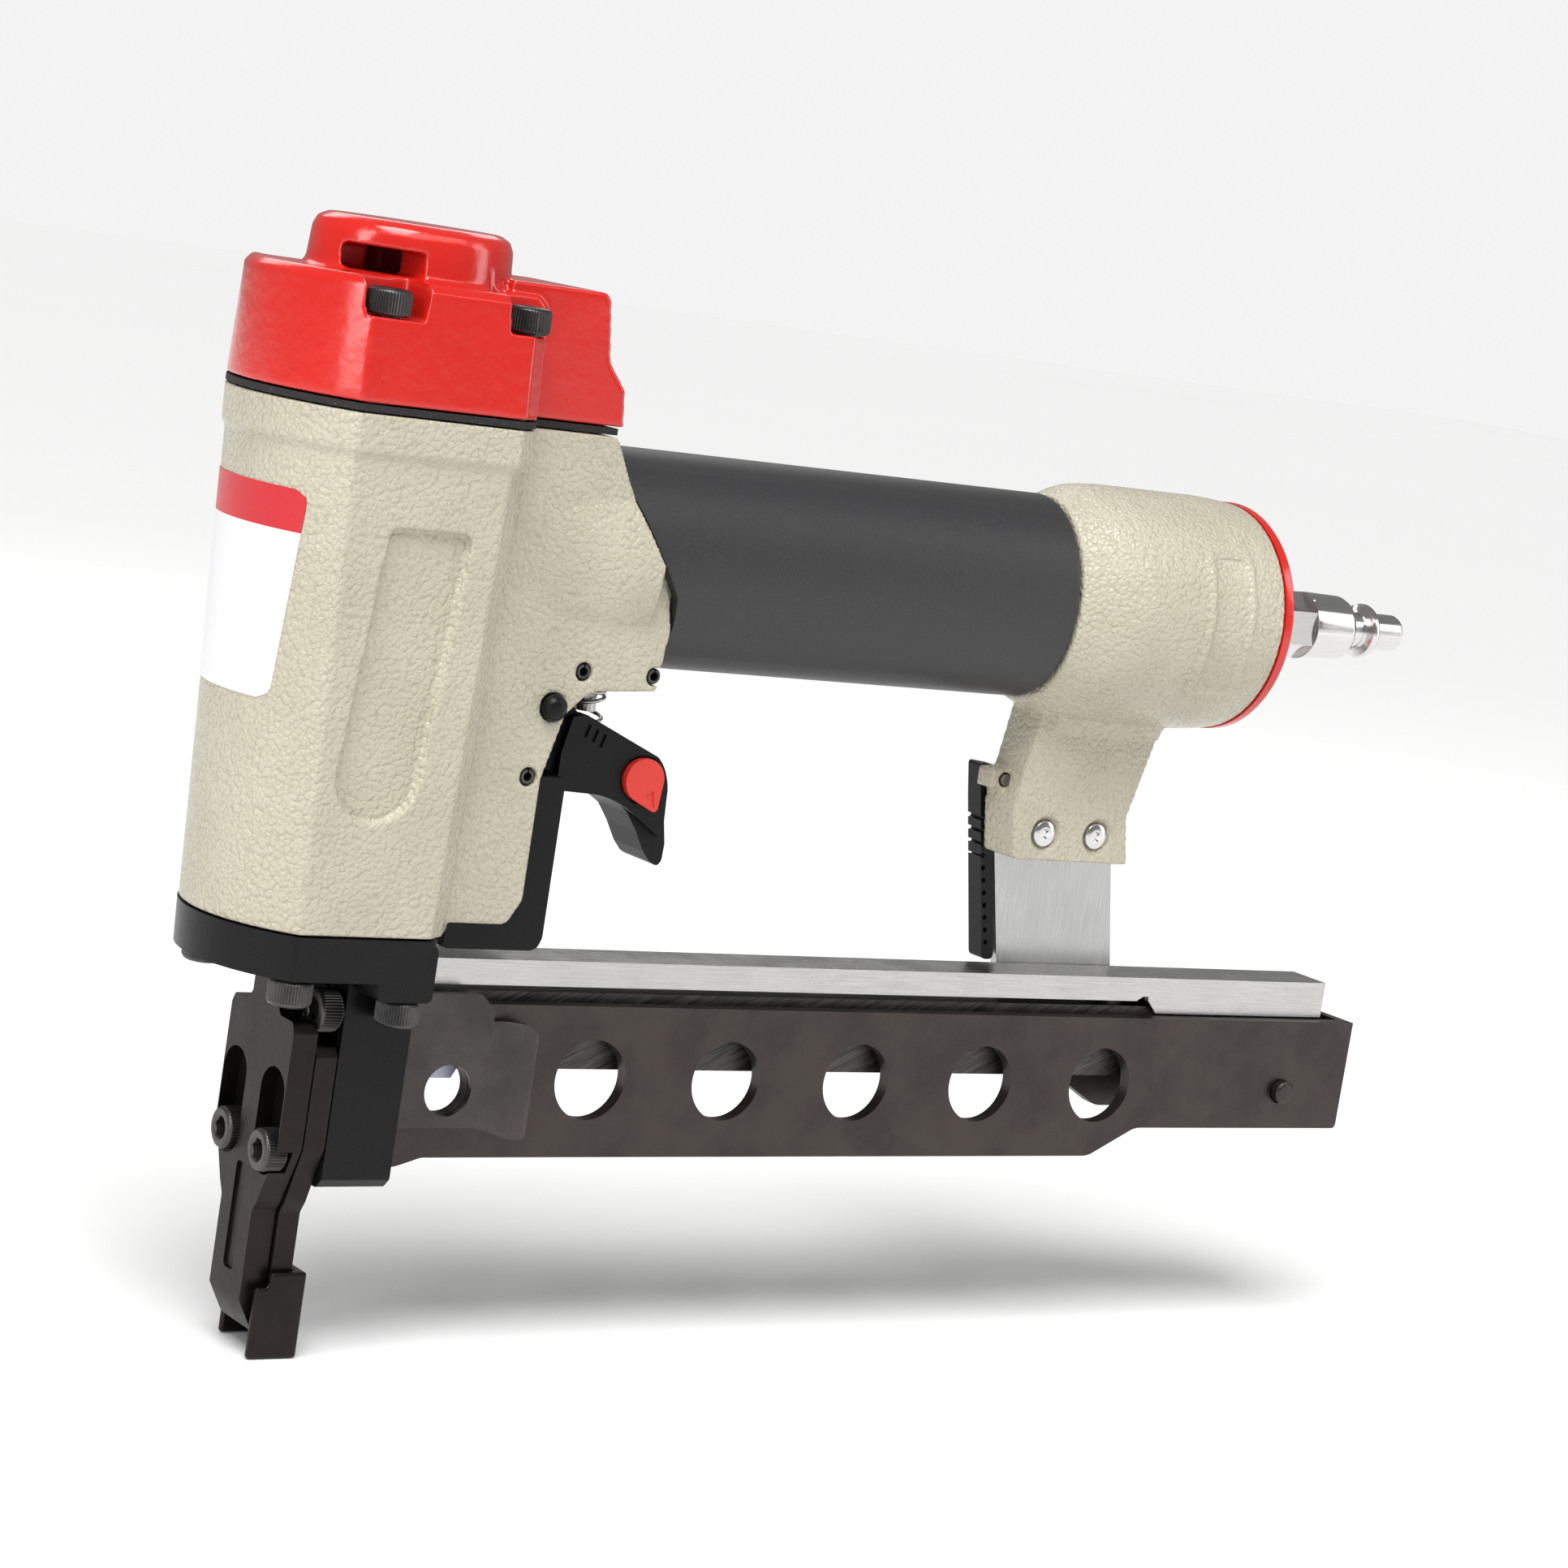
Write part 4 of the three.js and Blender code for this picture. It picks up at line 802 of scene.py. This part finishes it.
def make_front_plate():
    plate_shape = front_plate(nose_outline(70.5, 6.4, 8.3), -6.8, -1.6)
    cuts = [plate([(-7.8, 16.3), (-7.8, 7.3), (-2.8, 7.3)], -20, 20),
            front_plate(rounded([(-2, 19), (2, 19), (2, 40), (-2, 40)], 1.2), -7.8, -6.2)]
    for side in (-1, 1):
        cuts.append(rod("x", 4.65, -2.2, 5, side * 9.6, 72.5, 48))
        y = side * 7.9
        slot = [(y + 4.75 * math.cos(math.pi * i / 24), 56 + 4.75 * math.sin(math.pi * i / 24)) for i in range(25)]
        slot += [(y - 4.75 * math.cos(math.pi * i / 24), 44.6 - 4.75 * math.sin(math.pi * i / 24)) for i in range(25)]
        cuts.append(front_plate(slot, -11.8, -3.2))
        cuts.append(rod("x", 2.7, -10, 10, y, 44.6, 32))
    return join(plate_shape, (), cuts)


stand_in("nose_cover_plate", make_front_plate(), BLUED_Z, "front_plate", bevel=0.35, segments=3, angle=40)


def make_driver_guide():
    guide = front_plate(nose_outline(66, 7.2, 9.3), -1.3, 3.2)
    cuts = [box(-2.3, 1.1, -5.7, 5.7, 0, 100), box(0, 10, -5.9, 5.9, 43.2, 77), box(-10, 10, -30, 30, 66, 100)]
    cuts += [rod("x", 2.7, -10, 10, side * 7.9, 44.6, 32) for side in (-1, 1)]
    return join(guide, (), cuts)


stand_in("driver_channel_plate", make_driver_guide(), BLUED_Z, "driver_guide", bevel=0.25, segments=2, angle=40)


def make_nose_block():
    block = front_plate(rounded([(-13, 40), (-11, 38), (11, 38), (13, 40), (13, 80.2, 0), (-13, 80.2, 0)], 1.2),
                        3.5, 18.3)
    cuts = [box(0, 30, -5.9, 5.9, 43.2, 77), box(14, 30, -5.9, 5.9, 76, 90), box(6.3, 10.3, 6.7, 9.3, 0, 100),
            box(6.3, 30, 6.7, 9.3, 74.6, 100), rod("y", 1.8, -11.3, 20, 6, 66, 32)]
    for side in (-1, 1):
        cuts += [rod("x", 2.7, -5, 12, side * 9.6, 72.5, 32), rod("x", 2.7, -5, 7.5, side * 7.9, 44.6, 32),
                 rod("z", 4.85, 66.5, 100, 11.7, side * 18, 48)]
    return join(block, (), cuts)


stand_in("nose_casting", make_nose_block(), CASTING, "nose_block", bevel=0.5, segments=4, angle=40)


def make_foot():
    foot = box(-4.8, 5.7, -9.1, 9.1, 3.5, 20.5)
    inner = box(-10, 3.5, -7.5, 7.5, 2.5, 30)
    step = box(-10, -2.2, 6.5, 10.1, 2.5, 30)
    near = plate(rounded([(-8, 17.6), (-2.0, 17.6), (-2.0, 24), (-8, 24)], 1.0), -12, -7)
    return join(foot, (), [inner, step, near])


stand_in("safety_foot", make_foot(), BLUED_Z, "contact_foot", bevel=0.6, segments=4, angle=50)


def make_arm_cover():
    outline = [(23.4, 86, 0.4), (24, 85.4, 0.6), (43, 85.4, 2), (44.6, 86, 2), (45.4, 88, 2), (45.4, 119.4, 0.5),
               (44.8, 119.8, 0.4), (37.6, 119.8, 0), (37.6, 96, 2), (34.6, 91, 1), (23.4, 91, 0.3)]
    cover = plate(rounded(outline, 0, 6), -11.4, 11.4)
    ribs = [box(36.4, 43, low, low + 3.6, 107.5, 119) for low in (-9, 5.4)]
    cover = join(cover, (), [box(30, 41.8, -9.3, 9.3, 91.3, 125)])
    return join(cover, ribs, [box(20, 30.7, 6.7, 9.3, 80, 95)])


stand_in("arm_guard", make_arm_cover(), NYLON, "arm_cover", bevel=0.5, segments=3, angle=40)


# ---------------------------------------------------------------- trigger
def quad(p0, p1, p2, steps=9):
    return [((1 - t) ** 2 * p0[0] + 2 * t * (1 - t) * p1[0] + t * t * p2[0],
             (1 - t) ** 2 * p0[1] + 2 * t * (1 - t) * p1[1] + t * t * p2[1]) for t in (i / steps for i in range(1,
             steps + 1))]


def make_trigger():
    outline = [(45.8, 116.6), (55, 116.2)] + quad((55, 116.2), (60.5, 115.6), (66.3, 111.6))
    outline += [(71.2, 108.3), (72, 108.4), (71.6, 118)] + quad((71.6, 118), (70.8, 122.4), (68.2, 124.4))
    outline += [(50.4, 131.8), (47.4, 131.2), (45.8, 124)]
    hook = plate(rounded([(56, 118), (60.5, 115.3), (64.1, 112.7), (66.9, 109), (69.3, 105), (71.2, 102.9),
                          (73, 102.1), (74, 103.2), (74.1, 106.8), (73.2, 111.3), (70.6, 119)], 2.5), -5.6, 5.6)
    body = plate(outline, -7.6, 7.6)
    lugs = plate(rounded([(34.5, 131.5), (37, 130), (42.5, 121), (46.5, 119), (50, 131), (47, 134.5), (40.5, 137.2),
                          (35.5, 137), (33.6, 134.4)], 1.2), -5.8, 5.8)
    cavity = plate([(30, 115), (42, 112), (44, 119.8), (56.6, 118.2), (62.5, 115.6), (68.4, 115.8), (69.1, 121.6),
                    (64, 145), (30, 145)], -4.3, 4.3)
    cuts = [cavity, rod("y", 2.8, -20, 20, 37.5, 134), rod("y", 2.3, -20, 20, 65.2, 119.7, 32),
            rod("y", 4.9, -20, -6.6, 65.2, 119.7)]
    for k in range(3):
        x = 50.2 + 1.9 * k
        z = 127.6 - 0.9 * k
        cuts.append(plate([(x, z), (x + 0.8, z - 0.3), (x + 1.6, z + 2.2), (x + 0.8, z + 2.6)], -9, -7.15))
    return join(body, [hook, lugs], cuts)


stand_in("trigger_moulding", make_trigger(), NYLON, "trigger", bevel=0.7, segments=4, angle=42)


def make_selector():
    cx, cz = 65.2, 119.7
    heading = math.atan2(113 - cz, 69 - cx)
    outline = []
    for i in range(49):
        t = heading + 1 + (2 * math.pi - 2) * i / 48
        outline.append((cx + 4.4 * math.cos(t), cz + 4.4 * math.sin(t)))
    for spread, reach in ((-0.09, 6.75), (0, 7.0), (0.09, 6.75)):
        outline.append((cx + reach * math.cos(heading + spread), cz + reach * math.sin(heading + spread)))
    face = plate(outline, -8.9, -7.9)
    hub = rod("y", 4.3, -8.4, -6.9, cx, cz)
    shaft = rod("y", 2, -7, 7.2, cx, cz, 32)
    marks = []
    for a, reach in ((heading - 0.36, 3.0), (heading + 0.36, 3.0), (heading, 6.2)):
        marks.append((cx + reach * math.cos(a), cz + reach * math.sin(a)))
    recess = plate(marks, -10, -8.62)
    return join(face, [hub, shaft], [recess])


stand_in("mode_selector", make_selector(), RED_NYLON, "selector", bevel=0.25, segments=3, angle=40)


# ---------------------------------------------------------------- magazine
def side_outline(low_front, low_rear, top=74, front=19.0, rear=263.6):
    return rounded([(front, top, 0), (front, low_front - 2.2, 1), (front + 3, low_front - 1.6, 2), (front + 8,
                   low_front, 5),
                    (193, low_front, 6), (205, low_rear, 6), (rear, low_rear, 1.2), (rear, top, 1.2)], 0, 6)


def make_channel():
    near = plate(side_outline(43.2, 49.5), -8.9, -5.9)
    far = plate(side_outline(57.4, 50.6), 5.9, 8.9)
    back = box(261.2, 263.6, -8.9, 8.9, 50.6, 74)
    cuts = [turned("y", [(-30, 8.2), (-5, 8.2)], 63 + 32.5 * i, 59, 96) for i in range(5)]
    cuts += [rod("y", 5.15, -30, 30, 29.9, 57, 72), rod("y", 2.8, -30, 30, 245.1, 58.1)]
    return join(near, [far, back], cuts)


stand_in("magazine_body", make_channel(), BLUED, "magazine_channel", bevel=0.3, segments=3, angle=40)


def make_guide_plate():
    flat = plate(rounded([(18.6, 49.5), (38, 49.5, 0), (38, 73, 0), (34.6, 76.3, 2), (18.6, 76.3)], 0.6), -10.4, -9.2)
    section = [(36.5, -10.4), (39.2, -10.4), (40.6, -10.7), (41.8, -11.6), (43.0, -12.4), (44.6, -12.9), (46.2, -13.0),
               (47.4, -12.6), (47.5, -11.9), (46.6, -11.7), (45.2, -11.7), (43.8, -11.2), (42.6, -10.3), (41.2, -9.5),
               (39.4, -9.2), (36.5, -9.2)]
    lip = loft([[(x, y, z) for x, y in section] for z in (47, 72)])
    window = plate(rounded([(30, 49.5, 0), (37.2, 49.5, 0.5), (43.2, 48.0, 2), (47.6, 47.7, 2), (47.6, 69, 4),
                            (44.5, 71, 3), (30, 71, 0)], 0, 6), -14, -8)
    lip = common(lip, window)
    return join(flat, [lip], [rod("y", 5.15, -30, 0, 29.9, 57, 72)])


stand_in("side_guide", make_guide_plate(), GUIDE_STEEL, "guide_plate_left", bevel=0.22, segments=3, angle=45)


def make_rail():
    rail = box(16.8, 256.4, -5.6, 5.6, 77, 82.3)
    flare = plate([(205.5, 77.2), (208.2, 74.3), (256.4, 74.3), (256.4, 82), (205.5, 82)], -5.6, 5.6)
    inside = box(0, 300, -4.4, 4.4, 60, 81.1)
    notch = plate([(202.5, 70), (205.5, 70), (205.5, 78), (204, 78), (202.5, 77.2)], -20, 0)
    return join(rail, [flare], [inside, notch])


stand_in("slide_rail", make_rail(), STEEL_X, "top_rail", bevel=0.3, segments=3, angle=40)

pin_shape = turned("y", [(-11.1, 1.6), (-10.95, 2.1), (-10.6, 2.5), (9.5, 2.5), (9.9, 2.1)], 245.1, 58.1, 48)
stand_in("stop_pin", pin_shape, BLUED, "magazine_pin")


def make_bracket():
    strap = plate([(164.9, 117), (165.9, 106), (172.8, 75.4), (204.2, 75.4), (198.4, 104.4), (197, 117)], 5.9, 8.1)
    return join(strap, (), [rod("y", 1.8, 0, 20, x, z, 32) for x, z in RIVETS.values()])


stand_in("rear_strap", make_bracket(), STEEL_Z, "rear_bracket", bevel=0.3, segments=3)


def make_release_lever():
    outline = rounded([(158.4, 125.4, 0.8), (163.8, 124.8, 0.8), (163, 117.5, 2), (170.2, 82.8, 1.4), (167, 82.8, 1.4),
                       (159.8, 117.6, 3)], 0, 5)
    lever = plate(outline, 5.9, 10.5)
    cuts = [rod("y", 1.55, 0, 20, 161.2, 122.9, 32)]
    for i in range(11):
        z = 113.5 - i * 2.7
        cuts.append(rod("y", 0.55, 0, 20, 160 + (117.6 - z) * 0.241 - 0.1, z, 16))
    return join(lever, (), cuts)


stand_in("latch_lever", make_release_lever(), NYLON, "release_lever", bevel=0.3, segments=2, angle=50)


# ---------------------------------------------------------------- label
def make_label():
    steps_u, steps_v, corner = 40, 34, 2.6
    low, high = 131.5, 170.6
    verts = []
    for lift in (0.02, 0.17):
        for j in range(steps_v + 1):
            v = j / steps_v
            z = low + (high - low) * v
            tip, crease, half, _ = plan_at(z)
            sagitta = tip - crease
            radius = (half * half + sagitta * sagitta) / (2 * sagitta)
            reach = 14.2 + 3.9 * v
            edge = min(z - low, high - z)
            inset = corner - math.sqrt(max(0, corner ** 2 - max(0, corner - edge) ** 2)) if edge < corner else 0
            for i in range(steps_u + 1):
                y = (reach - inset) * (2 * i / steps_u - 1)
                t = math.asin(y / radius)
                r = radius + lift
                verts.append((-tip + radius - r * math.cos(t), r * math.sin(t), z))
    row = steps_u + 1
    sheet = row * (steps_v + 1)
    faces = []
    for j in range(steps_v):
        for i in range(steps_u):
            a = j * row + i
            faces.append((a, a + 1, a + 1 + row, a + row))
            faces.append((a + sheet, a + row + sheet, a + 1 + row + sheet, a + 1 + sheet))
    rim = [i for i in range(row)] + [j * row + steps_u for j in range(1, steps_v + 1)]
    rim += [steps_v * row + i for i in range(steps_u - 1, -1, -1)] + [j * row for j in range(steps_v - 1, 0, -1)]
    for i, a in enumerate(rim):
        b = rim[(i + 1) % len(rim)]
        faces.append((a, b, b + sheet, a + sheet))
    return solid(verts, faces)


piece("front_label", make_label(), LABEL, ["housing"])


# ---------------------------------------------------------------- springs
def coil(axis, radius, wire, low, high, turns, a, b):
    """A compression spring of round wire with closed end turns."""
    steps = 28 * turns
    tight = 2.2 * wire
    pitch = (high - low - 2 * wire - 2 * tight) / (turns - 2)
    rings = []
    for i in range(steps + 1):
        turn = turns * i / steps
        along = low + wire + tight * min(turn, 1) + pitch * min(max(turn - 1, 0), turns - 2)
        along += tight * max(turn - turns + 1, 0)
        t = 2 * math.pi * turn
        ring = []
        for k in range(12):
            s = 2 * math.pi * k / 12
            out, up = radius + wire * math.cos(s), along + wire * math.sin(s)
            if axis == "z":
                ring.append((a + out * math.cos(t), b + out * math.sin(t), up))
            else:
                ring.append((up, a + out * math.cos(t), b + out * math.sin(t)))
        rings.append(ring)
    return loft(rings)


def compressing(name, node, material, joint, travel, axis, radius, wire, low, high, turns, a, b):
    """A spring of round wire that takes its CAD node's place, built at its full length."""
    spring = stand_in(name, coil(axis, radius, wire, low, high, turns, a, b), material, node)
    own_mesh(spring)


SPRINGS = [
    ("valve_coil", "head_valve_spring", TURNED, "head_valve_lift", 3.0, "z", 8.4, 0.7, 191.75, 202.0, 3, 0, 0),
    ("arm_coil", "contact_arm_spring", TURNED, "contact_arm_slide", 4.8, "z", 2.5, 0.5, 105.25, 125.6, 6, 28.2, 1),
    ("trigger_coil", "trigger_spring", TURNED, "trigger_pull", 3.1, "z", 3.3, 0.4, 125.25, 136.3, 4, 54.6, 0),
    ("pusher_coil", "pusher_spring", BRONZE, "pusher_slide", 150.0, "x", 2.0, 0.35, 32.8, 234.7, 17, 0, 66.0),
]
for spring in SPRINGS:
    compressing(*spring)


# ---------------------------------------------------------------- studio
def stage_material():
    m, nodes, links, shader = new_material("studio_floor")
    vector = coords(nodes, links, (1, 1, 1))
    tone = noise(nodes, links, vector, 600, 1.0)
    links.new(mix_colour(nodes, links, tone, (0.86, 0.86, 0.855), (0.88, 0.88, 0.875)), shader.inputs["Base Color"])
    shader.inputs["Roughness"].default_value = 0.9
    return m


floor_mesh = bpy.data.meshes.new("studio_floor")
span = 6.0
floor_mesh.from_pydata([(-span, -span, 0), (span, -span, 0), (span, span, 0), (-span, span, 0)], [], [(0, 1, 2, 3)])
floor = bpy.data.objects.new("studio_floor", floor_mesh)
bpy.context.scene.collection.objects.link(floor)
floor.location.z = -0.0002
floor_mesh.materials.append(stage_material())

world = bpy.data.worlds.new("studio")
world.use_nodes = True
tree = world.node_tree
fill = tree.nodes["Background"]
fill.inputs["Strength"].default_value = 0.24
seen = tree.nodes.new("ShaderNodeBackground")
seen.inputs["Color"].default_value = (1, 1, 1, 1)
seen.inputs["Strength"].default_value = 0.9
ray = tree.nodes.new("ShaderNodeLightPath")
either = tree.nodes.new("ShaderNodeMixShader")
tree.links.new(ray.outputs["Is Camera Ray"], either.inputs[0])
tree.links.new(fill.outputs[0], either.inputs[1])
tree.links.new(seen.outputs[0], either.inputs[2])
tree.links.new(either.outputs[0], tree.nodes["World Output"].inputs["Surface"])
fill.inputs["Color"].default_value = (1, 1, 1, 1)
bpy.context.scene.world = world

sky = bpy.data.lights.new("overhead", "SUN")
sky.energy = 2.95
sky.angle = math.radians(35)
overhead = bpy.data.objects.new("overhead", sky)
overhead.rotation_euler = Vector((0.35, 0.42, -1.0)).to_track_quat("-Z", "Y").to_euler()
bpy.context.scene.collection.objects.link(overhead)


def softbox(name, where, target, size, power):
    light = bpy.data.lights.new(name, "AREA")
    light.shape = "RECTANGLE"
    light.size, light.size_y = size
    light.energy = power
    lamp = bpy.data.objects.new(name, light)
    lamp.location = where
    aim = Vector(target) - Vector(where)
    lamp.rotation_euler = aim.to_track_quat("-Z", "Y").to_euler()
    bpy.context.scene.collection.objects.link(lamp)


softbox("key_left", (-1.15, -0.35, 0.6), (0.05, 0, 0.12), (0.35, 0.9), 6.0)
softbox("top_front", (0.25, -0.8, 1.05), (0.1, 0, 0.12), (1.2, 0.3), 2.2)
softbox("right_fill", (1.1, -0.6, 0.5), (0.12, 0, 0.12), (0.3, 0.9), 2.6)
softbox("rear_rim", (0.3, 0.9, 0.8), (0.1, 0, 0.12), (1.0, 0.4), 2.4)

CAMERA_ANGLES = (-35.23, 7.87, 8.96)
CAMERA_PLACE = (-0.3815, -0.6817, 0.2311)
camera_data = bpy.data.cameras.new("photo_view")
camera_data.sensor_width = 36
camera_data.lens = 95
camera_data.clip_end = 20
camera = bpy.data.objects.new("photo_view", camera_data)
azimuth, elevation, roll = (math.radians(v) for v in CAMERA_ANGLES)
back = Vector((math.sin(azimuth) * math.cos(elevation), -math.cos(azimuth) * math.cos(elevation), math.sin(elevation)))
right = (-back).cross(Vector((0, 0, 1))).normalized()
up = right.cross(-back)
tilted_right = right * math.cos(roll) + up * math.sin(roll)
tilted_up = up * math.cos(roll) - right * math.sin(roll)
pose = Matrix((tilted_right, tilted_up, back)).transposed().to_4x4()
pose.translation = CAMERA_PLACE
camera.matrix_world = pose
bpy.context.scene.collection.objects.link(camera)
bpy.context.scene.camera = camera
bpy.context.scene.view_settings.view_transform = "Standard"
